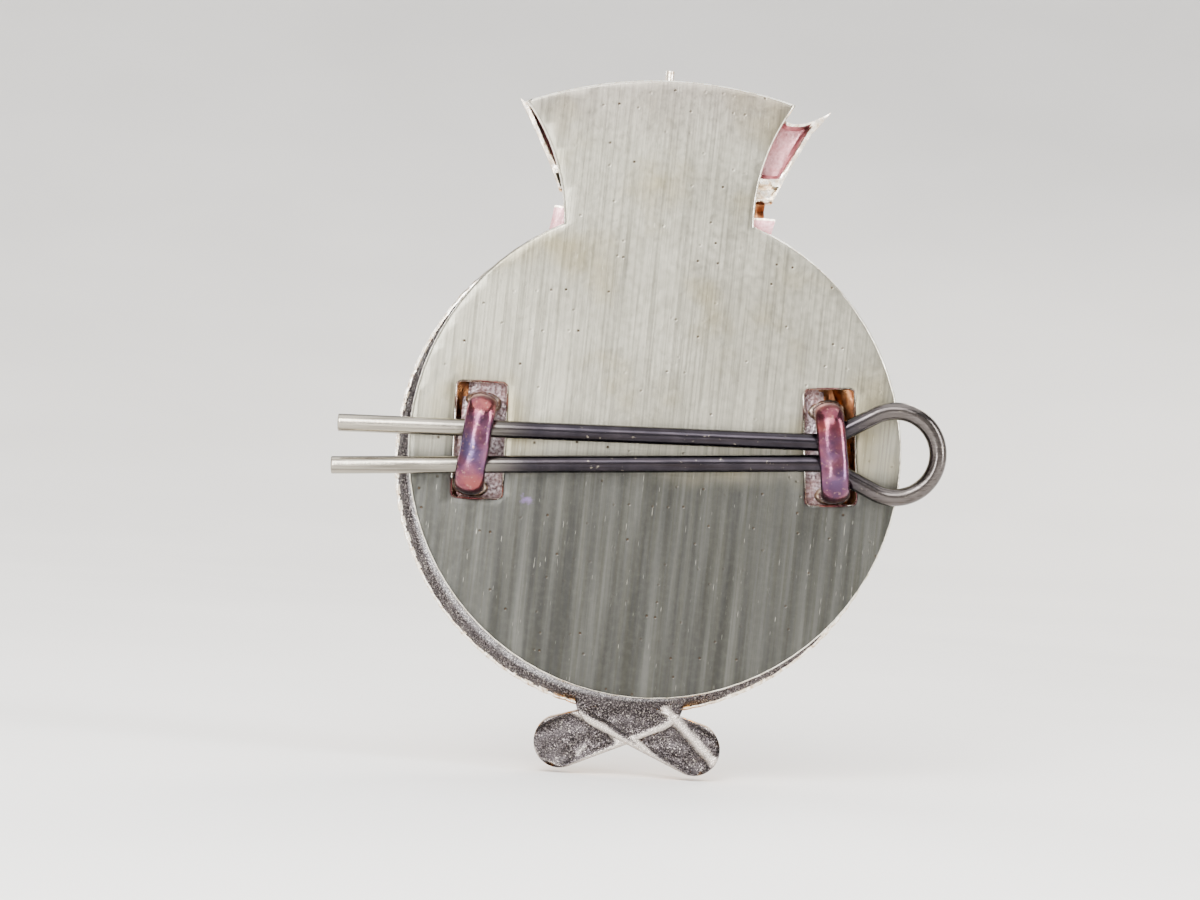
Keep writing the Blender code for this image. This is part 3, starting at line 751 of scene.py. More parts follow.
def wreath_ring():
    """The ring: hollow behind, with a grained rim and a thin scalloped lip round it."""
    middle = (RING_RADIUS + RING_BORE) / 2
    half = (RING_RADIUS - RING_BORE) / 2
    groove_middle = (RIM_INNER + GROOVE_INNER) / 2
    groove_half = (RIM_INNER - GROOVE_INNER) / 2
    rim = [(radius * MM, depth * MM) for radius, depth in RIM_COURSES]
    vault = half_round(groove_middle, groove_half, -RING_SHOULDER, -GROOVE_VAULT, 0, 180, 10)
    dome = half_round(middle, half, -RING_SHOULDER, RING_SHOULDER - RING_CREST, 180, 0, 14)
    profile = rim + vault + [(GROOVE_INNER, -FIELD_FRONT), (RING_BORE, -FIELD_FRONT)] + dome
    shape = spun(profile, RING_STEPS)
    for vert in shape.verts:
        radius = math.hypot(vert.co.x, vert.co.z)
        if radius > RIM_LIP:
            wave = abs(math.sin(SCALLOPS / 2 * math.atan2(vert.co.x, vert.co.z)))
            worn = 0.5 + 0.5 * noise.noise(vert.co / (4 * MM))
            grow = 1 + SCALLOP_DEPTH * wave * worn / radius
            vert.co.x *= grow
            vert.co.z *= grow
    bumped(shape, lambda co: co.y > -0.5 * MM, size=0.3 * MM, height=0.05 * MM)
    bumped(shape, lambda co: co.y > -0.6 * MM, size=1.9 * MM, height=0.1 * MM, seed=3.1)
    paint(shape, 1, looks_back)
    paint(shape, 2, lambda f: f.material_index == 1 and off_axis(f) < RIM_INNER)
    # The thin lip takes the pale worn gilt, whose near-white tone is also a painted highlight
    paint(shape, 3, lambda f: f.material_index < 2 and off_axis(f) > RIM_LIP
          and f.calc_center_median().y > -RIM_LIP_DEPTH)
    finish_piece(
        "wreath_ring", shape, [GILT, GRAIN, TINTED, WORN], stands_for=["wreath"]
    )


def leaf(shape, place):
    """One laurel leaf: a pointed lens with a raised midrib, its tip lifted."""
    made = bmesh.ops.create_uvsphere(shape, u_segments=12, v_segments=8, radius=1.0)["verts"]
    for vert in made:
        x, y, z = vert.co
        pinch = max(0.0, 1 - z * z) ** 0.3
        ridge = 1 - 0.45 * abs(x) if y > 0 else 0.6
        vert.co = Vector((
            x * pinch * LEAF_WIDTH / 2,
            y * ridge * LEAF_THICKNESS + LEAF_TIP_LIFT * z,
            z * LEAF_LENGTH / 2,
        ))
    bmesh.ops.transform(shape, matrix=place, verts=made)


def ring_place(angle, radius, lift, turn):
    """A place on the ring's dome, angle measured from its foot: Y out of the face, Z up the wreath."""
    middle = (RING_RADIUS + RING_BORE) / 2
    half = (RING_RADIUS - RING_BORE) / 2
    off = max(-DOME_REACH, min(DOME_REACH, (radius - middle) / half))
    outward = Vector((math.sin(angle), 0, -math.cos(angle)))
    tangent = Vector((math.cos(angle), 0, math.sin(angle))) * (1 if angle > 0 else -1)
    tip = math.asin(off) * DOME_LEAN
    face = (outward * math.sin(tip) - BACK * math.cos(tip)).normalized()
    side = face.cross(tangent)
    place = Matrix((side, face, tangent)).transposed().to_4x4()
    rise = RING_SHOULDER + (RING_CREST - RING_SHOULDER) * math.sqrt(1 - off * off)
    place.translation = outward * radius - BACK * rise + face * lift
    return place @ Matrix.Rotation(turn, 4, "Y") @ Matrix.Rotation(LEAF_DROOP, 4, "X")


def laurel_leaves():
    """Leaves in threes up both sides of the ring, with berries in the gaps."""
    shape = bmesh.new()
    middle = (RING_RADIUS + RING_BORE) / 2 + 0.1 * MM
    step = (LEAF_LAST - LEAF_FIRST) / (LEAF_STATIONS - 1)
    for side in (-1, 1):
        for station in range(LEAF_STATIONS):
            for row in (-1, 1, 0):
                angle = side * (LEAF_FIRST + step * (station + (TOP_LEAF_LEAD if row == 0 else 0)))
                turn = row * side * LEAF_SPREAD
                radius = middle + row * LEAF_ROW_SPACING
                lift = TOP_LEAF_LIFT if row == 0 else 0.0
                leaf(shape, ring_place(angle, radius, lift, turn))
            angle = side * (LEAF_FIRST + step * (station - BERRY_LEAD))
            ball(shape, ring_place(angle, middle + BERRY_ASIDE, BERRY_LIFT, 0), BERRY_RADIUS)
    for vert in shape.verts:
        radius = math.hypot(vert.co.x, vert.co.z)
        if radius > RING_RADIUS:
            vert.co.x *= RING_RADIUS / radius
            vert.co.z *= RING_RADIUS / radius
    bmesh.ops.recalc_face_normals(shape, faces=shape.faces)
    finish_piece("laurel_leaves", shape, [GILT], sharp=60)


# Polished ridges on the stems' backs, in mm: from (x, z), to (x, z), half width and height
STEM_RIDGES = [
    ((-2.73, -18.2), (-6.5, -21.8), 0.42, 1.0),
    ((-0.45, -20.35), (-2.5, -22.1), 0.24, 0.9),
    ((4.2, -18.7), (1.6, -19.8), 0.3, 0.85),
    ((1.6, -19.8), (0.6, -20.75), 0.28, 0.8),
    ((3.7, -21.9), (3.1, -21.3), 0.26, 0.55),
    ((6.3, -22.3), (4.9, -22.8), 0.16, 0.5),
]


def ridge_height(spot):
    """0 to 1: how high the nearest polished ridge stands at a spot on the stems' backs."""
    best = 0.0
    for start, end, half, height in STEM_RIDGES:
        start, end = Vector(start) * MM, Vector(end) * MM
        run = end - start
        nearest = start + run * max(0.0, min(1.0, (spot - start).dot(run) / run.length_squared))
        ragged = 1 + 0.35 * noise.noise(Vector((spot.x, 2.0 * MM, spot.y)) / (0.5 * MM))
        best = max(best, height * math.exp(-(((spot - nearest).length / (half * ragged * MM)) ** 2)))
    return best


def stem(side):
    """One crossing stem: grained behind, with polished ridges, and rounded in front."""
    end = Vector((side * STEM_END.x, STEM_END.z))
    along = Vector((-side * math.cos(STEM_SLOPE), math.sin(STEM_SLOPE)))
    root = end + along * STEM_LENGTH
    heading = math.atan2(along.y, along.x)
    outline = arc(end, STEM_END_RADIUS, heading + math.pi / 2, heading + 1.5 * math.pi, 28)
    outline += arc(root, STEM_ROOT_RADIUS, heading - math.pi / 2, heading + math.pi / 2, 28)
    outline = [p if p.length > STEM_TRIM_RADIUS else p.normalized() * STEM_TRIM_RADIUS for p in outline]
    outline = stretched(outline + outline[:1], 0.3 * MM)[:-1]
    shape = slab(outline, 0.0, -STEM_THICKNESS)
    rims = [e for e in shape.edges if abs(e.verts[0].co.y - e.verts[1].co.y) < 1e-9]
    soften(shape, rims, STEM_EDGE)
    diced(shape, STEM_CELL)
    across = Vector((-along.y, along.x)) * side
    polish = shape.verts.layers.float.new("polish")
    for vert in shape.verts:
        spot = Vector((vert.co.x, vert.co.z))
        flat = spot - end
        length, width = flat.dot(along), flat.dot(across)
        inside = smooth(STEM_END_RADIUS - max(abs(width), -length), 0.15 * MM, 0.6 * MM)
        by_rim = smooth(spot.length, 18.9 * MM, 17.9 * MM)
        if vert.co.y > -0.1 * MM:
            ridge = ridge_height(spot)
            edge = smooth(STEM_END_RADIUS - max(abs(width), -length), 0.22 * MM, 0.04 * MM)
            vert[polish] = max(ridge, 0.8 * edge * (1 - by_rim))
            lumps = 0.5 + 0.5 * noise.noise(vert.co / (0.9 * MM))
            dished = inside * (STEM_LUMPS * lumps + STEM_DISH) * (1 - ridge)
            vert.co.y -= dished * (1 - by_rim) + STEM_BY_RIM * by_rim
            vert.co.y += STEM_GRAIN * noise.noise(vert.co / (0.28 * MM)) * inside * (1 - 0.6 * ridge)
        elif vert.co.y < -STEM_THICKNESS + 0.1 * MM:
            vert.co.y -= STEM_SWELL * inside
            vert.co.y += STEM_BARK * noise.noise(Vector((length * 0.25, 0, width)) / (0.4 * MM))
    bmesh.ops.translate(shape, vec=(0, -STEM_OVERLAP * (side + 1) / 2, 0), verts=shape.verts)
    bmesh.ops.recalc_face_normals(shape, faces=shape.faces)
    paint(shape, 1, looks_back)
    return shape


def stems():
    """The two crossing stems at the wreath's foot."""
    for name, side in (("stem_left", -1), ("stem_right", 1)):
        finish_piece(name, stem(side), [GILT, GRAIN], sharp=70)


def stem_band():
    """The wire binding where the stems cross, in front."""
    shape = bmesh.new()
    hoop = half_round(0.0, BINDING_HALF_WIDTH, STEM_THICKNESS - 0.2 * MM, BINDING_RISE, 0, 180, 14)
    for turn in range(BINDING_TURNS):
        height = BINDING_TOP - turn * BINDING_PITCH
        path = [Vector((x, -depth, height)) for x, depth in hoop]
        turned = drawn_wire(path, Vector((0, 0, 1)), BINDING_WIRE, BINDING_WIRE, 10, 0)
        mesh = bpy.data.meshes.new("binding_turn")
        turned.to_mesh(mesh)
        turned.free()
        shape.from_mesh(mesh)
        bpy.data.meshes.remove(mesh)
    finish_piece("stem_binding", shape, [GILT], sharp=50)


def crown_line(across):
    """Height of the line through the crown's points; across is -1 to 1."""
    return CROWN_MIDDLE_POINT - (CROWN_MIDDLE_POINT - CROWN_END_POINT) * across**2


def crown_top(across):
    """The crown's upper edge: sharp points with round dips between them."""
    dip = abs(math.sin(CROWN_PANELS / 2 * math.pi * across)) ** 0.75
    return crown_line(across) - CROWN_DIP * dip


# Mouldings below the crown's panels: height, half width, depth behind and depth in front
COLLAR_COURSES = [
    (None, 8.2, 0.0, 2.0),
    (17.9, 8.2, 0.0, 2.3),
    (18.65, 8.25, 0.0, 2.3),
    (18.8, 8.2, 0.05, 2.1),
    (18.82, 7.45, 0.9, 1.9),
    (19.35, 7.4, 1.15, 1.7),
    (19.88, 7.45, 0.9, 1.9),
    (19.95, 7.75, 0.25, 2.1),
    (20.0, 7.95, 0.1, 2.3),
]


def crown_relief(across, height):
    """Depth behind and depth in front of the crown's flared part, at one place."""
    climb = (height - CROWN_FOOT) / (crown_line(across) - CROWN_FOOT)
    half = CROWN_FOOT_HALF + CROWN_FLARE * climb**CROWN_FLARE_POWER
    panel = half * 2 / CROWN_PANELS
    place = (across + 1) * CROWN_PANELS / 2
    from_rib = (0.5 - abs(place % 1 - 0.5)) * panel
    side = smooth(from_rib, CROWN_RIB, CROWN_RIB + 0.28 * MM)
    pocket = side * smooth(height, POCKET_FOOT, POCKET_FOOT + 0.3 * MM)
    pocket *= smooth(crown_top(across) - height, 0.16 * MM, 0.36 * MM)
    pocket *= 1 - smooth(-across, 0.9, 0.95) * smooth(climb, 0.84, 0.92)
    step = smooth(height, 20.25 * MM, 20.4 * MM) * smooth(21.25 * MM - height, 0.0, 0.2 * MM)
    behind = POCKET_DEPTH * pocket + BAND_HOLLOW * step * smooth(from_rib, 0.1 * MM, 0.3 * MM)
    belly = (1 - (2 * from_rib / panel - 1) ** 2) if from_rib < panel / 2 else 1
    front = CROWN_FRONT + CROWN_BELLY * belly * smooth(height, 21.6 * MM, 22.2 * MM)
    front -= CROWN_EDGE_FALL * smooth(height, crown_top(across) - 0.9 * MM, crown_top(across))
    band = smooth(height, 20.2 * MM, 20.35 * MM) * smooth(21.5 * MM - height, 0, 0.15 * MM)
    front += BAND_BORDER * (1 - band) * smooth(21.9 * MM - height, 0, 0.25 * MM)
    return behind, max(front, behind + CROWN_WALL)


def crown_vertex(across, row):
    """X, height, depth behind and depth in front for one column and row of the crown."""
    if row < len(COLLAR_COURSES):
        height, half, behind, front = COLLAR_COURSES[row]
        x = across * half * MM
        z = math.sqrt(SEAT_RADIUS**2 - x * x) if height is None else height * MM
        if height is not None:
            z = max(z, math.sqrt(SEAT_RADIUS**2 - x * x) + row * 0.01 * MM)
        return x, z, behind * MM, front * MM
    climb = (row - len(COLLAR_COURSES) + 1) / (CROWN_ROWS - len(COLLAR_COURSES))
    z = CROWN_FOOT + climb * (crown_top(across) - CROWN_FOOT)
    reach = (z - CROWN_FOOT) / (crown_line(across) - CROWN_FOOT)
    x = across * (CROWN_FOOT_HALF + CROWN_FLARE * reach**CROWN_FLARE_POWER)
    place = Vector((z / (1.1 * MM), across, 4.0))
    wobble = CROWN_EDGE_WOBBLE * smooth(abs(across), 0.96, 1.0) * noise.noise(place)
    behind, front = crown_relief(across, z)
    curl = smooth(-across, 0.93, 1.0) * smooth(reach, 0.82, 1.0)
    return x + math.copysign(wobble, across) - TIP_CURL.x * curl, z + TIP_CURL.z * curl, behind, front


def crown():
    """The flared crown and its collar in one strike: fluted in front, a hollow behind each flute."""
    shape = bmesh.new()
    bmesh.ops.create_grid(shape, x_segments=CROWN_COLUMNS, y_segments=CROWN_ROWS - 1, size=1.0)
    fronts = set(new_verts(bmesh.ops.extrude_face_region(shape, geom=shape.faces[:])))
    for vert in shape.verts:
        across, row = vert.co.x, round((vert.co.y + 1) / 2 * (CROWN_ROWS - 1))
        x, z, behind, front = crown_vertex(across, row)
        shift = CROWN_SHIFT * smooth(z, SEAT_RADIUS - 1.6 * MM, SEAT_RADIUS)
        vert.co = Vector((x + shift, -front if vert in fronts else -behind, z))
    bmesh.ops.recalc_face_normals(shape, faces=shape.faces)
    bumped(shape, lambda co: co.y > -2.0 * MM, size=0.4 * MM, height=0.05 * MM)
    rears = {f for f in shape.faces if not fronts.intersection(f.verts)}
    # The back and side faces take the pale worn gilt, whose near-white tone is also a painted highlight
    # along the edges
    paint(shape, 1, lambda f: f in rears)
    paint(shape, 2, lambda f: f in rears and f.calc_center_median().y < -POCKET_LIP
          and f.calc_center_median().z > POCKET_FOOT)
    paint(shape, 2, lambda f: f in rears and f.calc_center_median().z < COLLAR_SHELF)
    paint(shape, 3, lambda f: f in rears and COLLAR_TOP < f.calc_center_median().z < CROWN_FOOT)
    finish_piece(
        "crown_strike", shape, [GILT, WORN, HOLLOW, TINTED], stands_for=["crown"], sharp=45
    )


def crown_dressing():
    """Pellets along the crown's band and on its points, and the finial's stub."""
    shape = bmesh.new()
    for i in range(BAND_PELLETS):
        across = BAND_HALF_WIDTH * (2 * i / (BAND_PELLETS - 1) - 1)
        place = Matrix.Translation(BAND_MIDDLE + Vector((across, 0, 0)))
        if i % 2:
            ball(shape, place, PEARL_RADIUS, 12, 8)
        else:
            turned = place @ Matrix.Rotation(math.radians(45), 4, "Y") @ Matrix.Diagonal((1.3, 1.1, 1.3, 1))
            made = bmesh.ops.create_cube(shape, size=LOZENGE_SIZE, matrix=turned)["verts"]
            soften(shape, list({e for v in made for e in v.link_edges}), 0.08 * MM)
    for i in range(1, CROWN_PANELS):
        across = -1 + 2 * i / CROWN_PANELS
        height = crown_top(across) - POINT_PELLET_DROP
        place = Matrix.Translation((across * POINT_PELLET_REACH, -CROWN_FRONT, height))
        ball(shape, place, POINT_PELLET_RADIUS, 14, 10)
    finish_piece("crown_pellets", shape, [GILT], sharp=60)

    stub = bmesh.new()
    length = FINIAL_TOP - CROWN_MIDDLE_POINT + FINIAL_ROOT
    place = Matrix.Translation((FINIAL_ASIDE, -FINIAL_DEPTH, FINIAL_TOP - length / 2))
    bmesh.ops.create_cone(
        stub, cap_ends=True, segments=20, radius1=FINIAL_FOOT_RADIUS, radius2=FINIAL_TOP_RADIUS,
        depth=length, matrix=place,
    )
    ends = [e for e in stub.edges if abs(e.verts[0].co.z - e.verts[1].co.z) < 1e-9]
    soften(stub, ends, 0.07 * MM)
    finish_piece("finial_stub", stub, [WORN])


def centre_field():
    """The round field: punched ground in front, pickled grain behind, a heat-tinted channel round it."""
    shape = bmesh.new()
    bmesh.ops.create_circle(
        shape, cap_ends=True, segments=160, radius=FIELD_RADIUS, matrix=Matrix.Rotation(math.pi / 2, 4, "X")
    )
    for inset in FIELD_INSETS:
        bmesh.ops.inset_region(shape, faces=[max(shape.faces, key=lambda f: len(f.verts))], thickness=inset)
    fronts = new_verts(bmesh.ops.extrude_face_region(shape, geom=shape.faces[:]))
    bmesh.ops.translate(shape, vec=(0, -FIELD_THICKNESS, 0), verts=fronts)
    diced(shape, FIELD_CELL)
    for vert in shape.verts:
        radius = math.hypot(vert.co.x, vert.co.z)
        if vert.co.y > -0.1 * MM:
            vert.co.y -= FIELD_CHANNEL * smooth(radius, PANEL_RADIUS, PANEL_RADIUS + 0.2 * MM)
    bmesh.ops.recalc_face_normals(shape, faces=shape.faces)
    bumped(shape, lambda co: co.y > -0.6 * MM, size=0.45 * MM, height=0.1 * MM)
    paint(shape, 1, looks_back)
    paint(shape, 2, lambda f: f.material_index == 1 and off_axis(f) > PANEL_RADIUS)
    finish_piece(
        "centre_field", shape, [FROSTED, PANEL, TINTED], stands_for=["centre_plate"]
    )


def bead_row(shape, radius, size, count, depth):
    """A ring of beads round the badge's axis."""
    for i in range(count):
        angle = math.tau * i / count
        place = Matrix.Translation((radius * math.cos(angle), -depth, radius * math.sin(angle)))
        ball(shape, place, size)


def circlet_band():
    """The circlet: a frosted band between two polished fillets, each with a row of beads."""
    low, high = FIELD_FRONT, FIELD_FRONT + CIRCLET_HEIGHT
    sunk = high - CIRCLET_SUNK
    step = FILLET_WIDTH + CIRCLET_EDGE
    half = [(0, -low), (0, CIRCLET_EDGE - high), (CIRCLET_EDGE, -high)]
    half += [(FILLET_WIDTH, -high), (step, -sunk)]
    profile = [(CIRCLET_OUTER - width, depth) for width, depth in half]
    profile += [(CIRCLET_INNER + width, depth) for width, depth in reversed(half)]
    shape = spun(profile, 240)
    low_fillet, high_fillet = CIRCLET_INNER + FILLET_WIDTH, CIRCLET_OUTER - FILLET_WIDTH
    paint(shape, 1, lambda f: f.normal.y < -0.9 and low_fillet < off_axis(f) < high_fillet)
    finish_piece("circlet_band", shape, [GILT, SATIN], stands_for=["circlet"], sharp=30)
    beads = bmesh.new()
    bead_row(beads, CIRCLET_OUTER - BEAD_INSET, BEAD_RADIUS, OUTER_BEADS, high)
    bead_row(beads, CIRCLET_INNER + BEAD_INSET, BEAD_RADIUS, INNER_BEADS, high)
    finish_piece("circlet_beads", beads, [GILT], sharp=80)


def star_layer(shape, rays, turn):
    """A star with a ridge down each ray and a valley between rays; rays give reach, waist and rise."""
    reach, waist, rise = rays
    sides = STAR_POINTS * 2
    level = -FIELD_FRONT - STAR_SLAB
    made = bmesh.ops.create_circle(shape, cap_ends=True, segments=sides, radius=1.0)["verts"]
    face = made[0].link_faces[0]
    for vert in made:
        angle = math.atan2(vert.co.y, vert.co.x)
        radius = reach if round(angle / (math.pi / STAR_POINTS)) % 2 == 0 else waist
        vert.co = Vector((radius * math.cos(angle + turn), level, radius * math.sin(angle + turn)))
    foot = new_verts(bmesh.ops.extrude_face_region(shape, geom=[face]))
    bmesh.ops.translate(shape, vec=(0, STAR_SLAB, 0), verts=foot)
    top = [f for f in shape.faces if len(f.verts) == sides and abs(f.calc_center_median().y - level) < 1e-7]
    peak = bmesh.ops.poke(shape, faces=top)["verts"]
    bmesh.ops.translate(shape, vec=(0, -rise, 0), verts=peak)


def star():
    """The faceted star: long rays over short ones, with a domed boss in a rope ring."""
    shape = bmesh.new()
    star_layer(shape, SHORT_RAYS, math.pi / STAR_POINTS)
    star_layer(shape, LONG_RAYS, 0.0)
    bmesh.ops.recalc_face_normals(shape, faces=shape.faces)
    soften(shape, [e for e in shape.edges if e.calc_length() > 1.0 * MM], 0.05 * MM, 1)
    finish_piece("star_rays", shape, [GILT], stands_for=["centre_star"], sharp=10)
    boss = bmesh.new()
    dome = Matrix.Translation((0, -FIELD_FRONT - BOSS_LIFT, 0)) @ Matrix.Diagonal(BOSS_SHAPE)
    ball(boss, dome, MM, 48, 24)
    laid = Matrix.Rotation(ROPE_LAY, 4, "X") @ Matrix.Diagonal(STRAND_SHAPE)
    for i in range(ROPE_STRANDS):
        around = Matrix.Rotation(math.tau * i / ROPE_STRANDS, 4, "Y")
        ball(boss, around @ Matrix.Translation(ROPE_PLACE) @ laid, STRAND_RADIUS)
    finish_piece("star_boss", boss, [GILT], sharp=80)


# ---------------------------------------------------------------- the fixing


def lug(node):
    """A lug: flattened wire bent into a staple, dented by the hammer, with solder drawn round its feet."""
    low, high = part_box(node)
    middle = (low + high) / 2
    half = (LUG_LEG_GAP + LUG_DEPTH) / 2
    staple = ((-half, LUG_ROOT), (-half, LUG_TOP), (half, LUG_TOP), (half, LUG_ROOT))
    corners = [Vector(corner) for corner in staple]
    flat_path = stretched(rounded(corners, LUG_SHOULDER, 12), 0.3 * MM)
    path = [Vector((0, p.y, p.x)) for p in flat_path]
    shape = drawn_wire(path, Vector((1, 0, 0)), LUG_WIDTH, LUG_DEPTH, 36, 0)
    turn = Matrix.Rotation(-LUG_LEAN[node], 4, "Y")
    foot = Matrix.Translation((middle.x, 0, middle.z)) @ turn
    bmesh.ops.transform(shape, matrix=foot, verts=shape.verts)
    bumped(shape, lambda co: co.y > 1.2 * MM, size=1.6 * MM, height=0.06 * MM, seed=middle.x / MM)
    bumped(shape, lambda co: co.y > 1.2 * MM, size=0.5 * MM, height=0.02 * MM, seed=middle.z / MM)
    finish_piece(f"{node}_wire", shape, [COPPER], stands_for=[node])
    feet = bmesh.new()
    for end in (-half, half):
        place = foot @ Matrix.Translation((0, SOLDER_LIFT, end)) @ Matrix.Rotation(-math.pi / 2, 4, "X")
        place = place @ Matrix.Diagonal((LUG_WIDTH, LUG_DEPTH, MM, 1))
        bmesh.ops.create_cone(
            feet, cap_ends=True, segments=32, radius1=SOLDER_FOOT, radius2=SOLDER_NECK,
            depth=SOLDER_HEIGHT, matrix=place,
        )
    bmesh.ops.subdivide_edges(feet, edges=feet.edges[:], cuts=1, use_grid_fill=True)
    bumped(feet, lambda co: True, size=0.45 * MM, height=0.1 * MM, seed=1.7)
    finish_piece(f"{node}_solder", feet, [SOLDER], sharp=70)


def split_pin():
    """The pin: one wire from tip to eye and back, its ends sheared flat, with a nick near one tip."""
    low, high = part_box("split_pin")
    across = (low.y + high.y) / 2
    turn = Matrix.Rotation(-PIN_SLOPE, 2)
    reach = PIN_EYE_RADIUS + PIN_WIRE / 2
    eye_x = low.x + reach
    lower_tip = Vector((0, -PIN_TIP_HALF_GAP))
    length = (high.x - eye_x - (turn @ lower_tip).x) / math.cos(PIN_SLOPE)
    eye_z = high.z - reach
    tangent = math.atan2(PIN_KNEE.y, PIN_KNEE.x) + math.acos(PIN_EYE_RADIUS / PIN_KNEE.length)
    eye = arc(Vector((0, 0)), PIN_EYE_RADIUS, tangent, math.tau - tangent, 96)
    other_knee = Vector((PIN_KNEE.x, -PIN_KNEE.y))
    upper = rounded(
        [Vector((length - PIN_LEG_DIFFERENCE, PIN_TIP_HALF_GAP)), PIN_KNEE, eye[0]], PIN_KNEE_RADIUS, 10
    )
    lower = rounded([eye[-1], other_knee, Vector((length, -PIN_TIP_HALF_GAP))], PIN_KNEE_RADIUS, 10)
    drawing = stretched(upper[:-1] + eye + lower[1:], 0.2 * MM)
    path = [turn @ p + Vector((eye_x, eye_z)) for p in drawing]
    shape = drawn_wire([Vector((p.x, across, p.y)) for p in path], BACK, PIN_WIRE, PIN_WIRE, 28, 0.07 * MM)
    for vert in shape.verts:
        off = Vector((vert.co.x - NICK_PLACE.x, vert.co.z - NICK_PLACE.z))
        aside = off.x * math.sin(NICK_SLOPE) + off.y * math.cos(NICK_SLOPE)
        near = math.exp(-((aside / NICK_HALF_WIDTH) ** 2)) * smooth(abs(off.x), NICK_HALF_LENGTH, 0.0)
        if vert.co.y > across:
            vert.co.y -= NICK_DEPTH * near
    finish_piece("split_pin_wire", shape, [WIRE], "split_pin", ["split_pin"], sharp=50)


def back_plate():
    """The back plate: its edges rolled over by the shears, its sheet never quite flat, one corner bent."""
    shape = bmesh.new()
    shape.from_mesh(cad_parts["back_plate"].data)
    bmesh.ops.remove_doubles(shape, verts=shape.verts, dist=2e-6)
    bmesh.ops.dissolve_limit(
        shape, angle_limit=math.radians(1), verts=shape.verts, edges=shape.edges
    )
    rims = [e for e in shape.edges if e.calc_face_angle(0) > math.radians(60)
            and abs(e.verts[0].co.y - e.verts[1].co.y) < 1e-6]
    soften(shape, rims, PLATE_ROLLED_EDGE, 3)
    diced(shape, PLATE_CELL)
    for vert in shape.verts:
        flat = Vector((vert.co.x, 0, vert.co.z))
        wave = PLATE_WAVE * noise.noise(flat / PLATE_WAVE_SPAN)
        off = flat - SLOT_DENT
        dent = math.exp(-((off.x / SLOT_DENT_HALF[0]) ** 2 + (off.z / SLOT_DENT_HALF[1]) ** 2))
        past_crease = max(0.0, (flat - CREASE).dot(CREASE_ACROSS))
        vert.co.y += wave - SLOT_DENT_DEPTH * dent + CREASE_SLOPE * past_crease
    shape.normal_update()
    # Edges and slot walls take the rubbed edge metal, whose near-white tone is partly a painted highlight
    paint(shape, 1, lambda f: abs(f.normal.y) < 0.9)
    finish_piece(
        "back_plate_sheet", shape, [SHEET, RUBBED], "back_plate", ["back_plate"], sharp=55
    )


# ---------------------------------------------------------------- the studio


def studio():
    """A pale floor just under the badge that sweeps up far off into a plain backdrop."""
    level = CAD_BOX[0].z - FLOOR_GAP
    sweep = half_round(FLOOR_FLAT, SWEEP_RADIUS, level + SWEEP_RADIUS, SWEEP_RADIUS, -90, 0, 24)
    profile = [(0.0, level)] + sweep
    floor = bmesh.new()
    verts = [floor.verts.new((radius, 0, height)) for radius, height in profile]
    edges = [floor.edges.new(pair) for pair in zip(verts, verts[1:])]
    bmesh.ops.spin(
        floor, geom=verts + edges, cent=(0, 0, 0), axis=(0, 0, 1), dvec=(0, 0, 0),
        angle=math.tau, steps=64, use_merge=True, use_duplicate=False,
    )
    bmesh.ops.remove_doubles(floor, verts=floor.verts, dist=1e-6)
    mesh = bpy.data.meshes.new("studio_sweep")
    floor.to_mesh(mesh)
    floor.free()
    mesh.shade_smooth()
    mesh.materials.append(pale_board())
    board = bpy.data.objects.new("studio_sweep", mesh)
    bpy.context.scene.collection.objects.link(board)

    world = bpy.data.worlds.new("pale_room")
    bpy.context.scene.world = world
    world.use_nodes = True
    world.node_tree.nodes["Background"].inputs["Color"].default_value = linear("#F4F4F5")
    world.node_tree.nodes["Background"].inputs["Strength"].default_value = 0.4


def softbox(name, place, aim, size, power, colour="#FFFFFF"):
    """A lamp with a rectangular face, turned towards its aim and not seen itself."""
    light = bpy.data.lights.new(name, "AREA")
    light.shape = "RECTANGLE"
    light.size, light.size_y = size
    light.energy = power
    light.color = linear(colour)[:3]
    lamp = bpy.data.objects.new(name, light)
    bpy.context.scene.collection.objects.link(lamp)
    place, aim = Vector(place), Vector(aim)
    turned = (aim - place).to_track_quat("-Z", "Y").to_matrix().to_4x4()
    lamp.matrix_world = Matrix.Translation(place) @ turned
    lamp.visible_camera = False


def lights():
    """A wide bank overhead, a key high behind the camera, strips for the edges, a key for the face."""
    softbox("bank_overhead", (0, 0, 0.95), (0, 0, 0), (1.2, 1.2), 14.0)
    softbox("key_high", (0.05, 0.30, 0.25), (0, 0, 0.01), (0.34, 0.2), 2.0)
    softbox("strip_tip_side", (0.085, 0.27, 0.12), (0, 0, 0.02), (0.06, 0.27), 1.3)
    softbox("strip_eye_side", (-0.32, 0.14, 0.12), (0, 0, 0.02), (0.08, 0.26), 1.6)
    softbox("face_key", (-0.25, -0.5, 0.4), (0, 0, 0), (0.24, 0.24), 3.0, "#FFF8EE")
    softbox("face_strip", (0.4, -0.3, 0.14), (0, 0, 0.02), (0.08, 0.3), 0.9)


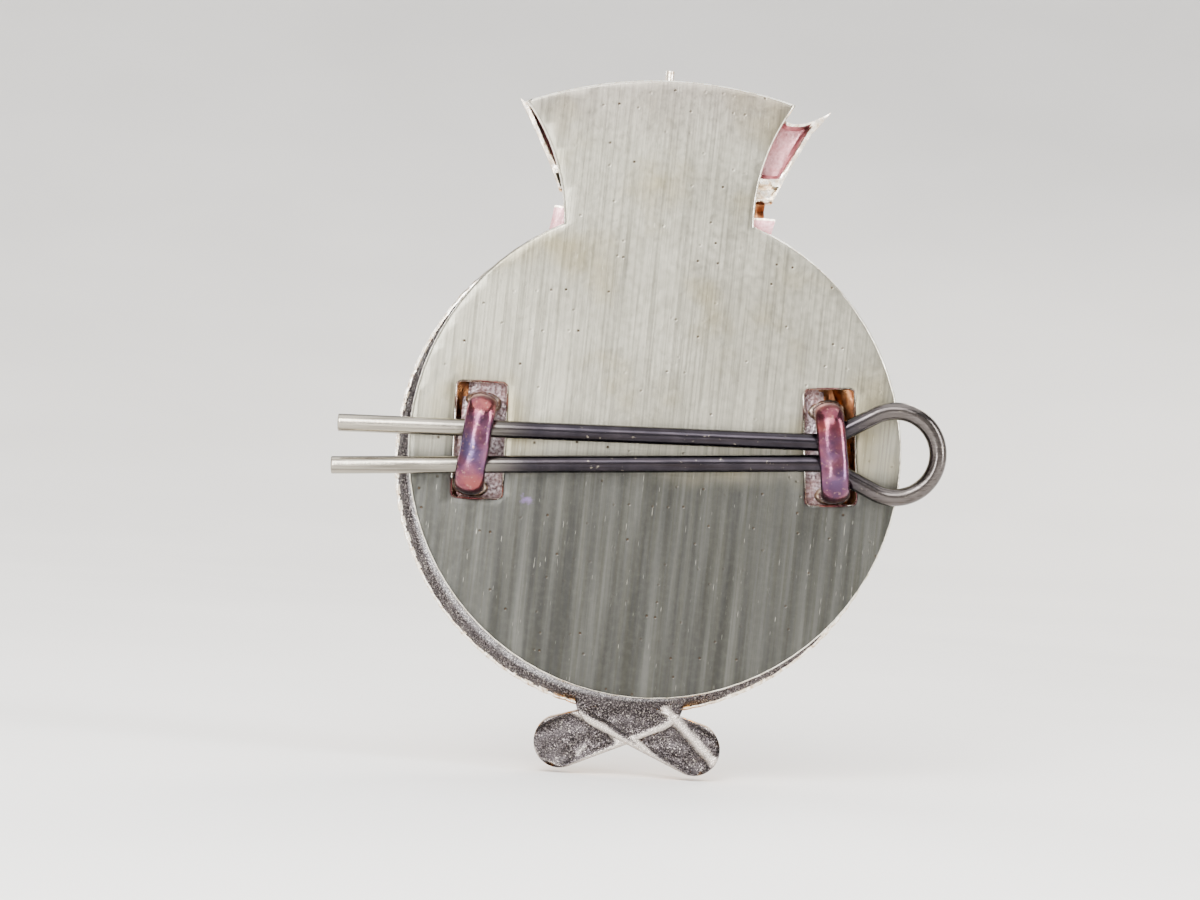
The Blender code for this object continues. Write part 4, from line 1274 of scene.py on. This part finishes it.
def camera():
    """The camera, straight behind the badge and turned a little about its own axis."""
    right = Vector((-math.cos(VIEW_ROLL), 0, math.sin(VIEW_ROLL)))
    up = Vector((math.sin(VIEW_ROLL), 0, math.cos(VIEW_ROLL)))
    data = bpy.data.cameras.new("view")
    data.sensor_width = SENSOR_WIDTH
    data.lens = SENSOR_WIDTH * VIEW_DISTANCE / VIEW_WIDTH
    data.clip_start = 0.01
    made = bpy.data.objects.new("view", data)
    bpy.context.scene.collection.objects.link(made)
    place = Matrix((right, up, BACK)).transposed().to_4x4()
    place.translation = VIEW_AIM + BACK * VIEW_DISTANCE
    made.matrix_world = place
    bpy.context.scene.camera = made


SHEET = dull_sheet_brass()
# The sheet's rolled-over edge, bright where it rubs on cloth and brighter still as a painted highlight,
# with small nicks
RUBBED_TONES = ((0.45, "#EDE9DC"), (0.72, "#A39A84"))
RUBBED = speckled_metal("rubbed_and_highlit_brass_edge", 0.5 * MM, RUBBED_TONES, (0.3, 0.8, 0.16, 0.34), 0.02 * MM)
GRAIN = struck_grain()
# Gilt rubbed pale along edges and ridges, with copper showing in small nicks; its near-white tone also
# paints a highlight along those edges
WORN_TONES = ((0.36, "#FFFAF2"), (0.54, "#E4D6C2"), (0.72, "#A78A70"))
WORN = speckled_metal("worn_and_highlit_gilt_edge", 0.3 * MM, WORN_TONES, (0.3, 0.75, 0.2, 0.4), 0.018 * MM)
SATIN = satin_gilt()
PANEL_TONES = ((0.36, "#625558"), (0.5, "#9C8F93"), (0.66, "#D5CCCF"))
PANEL = pickled_metal("pickled_panel", "#987672", PANEL_TONES, 0.08 * MM, 0.9)
HOLLOW_TONES = ((0.36, "#BF8D92"), (0.66, "#D7A9AE"))
HOLLOW = pickled_metal("pickled_hollow", "#CF8488", HOLLOW_TONES, 0.02 * MM, 0.4)
TINTED = heat_tinted_metal()
GILT = burnished_gilt()
FROSTED = frosted_gilt()
COPPER = brazed_copper()
# Silver solder drawn in round the lugs' feet: pale, lumpy, half bright
SOLDER_TONES = ((0.38, "#F1E6DA"), (0.52, "#CBB09E"), (0.66, "#7C5C4C"))
SOLDER = speckled_metal("silver_solder", 0.4 * MM, SOLDER_TONES, (0.3, 0.7, 0.24, 0.42), 0.1 * MM)
WIRE = dull_brass_wire()

camera()
wreath_ring()
laurel_leaves()
stems()
stem_band()
crown()
crown_dressing()
centre_field()
circlet_band()
star()
for node in LUG_LEAN:
    lug(node)
split_pin()
back_plate()
studio()
lights()
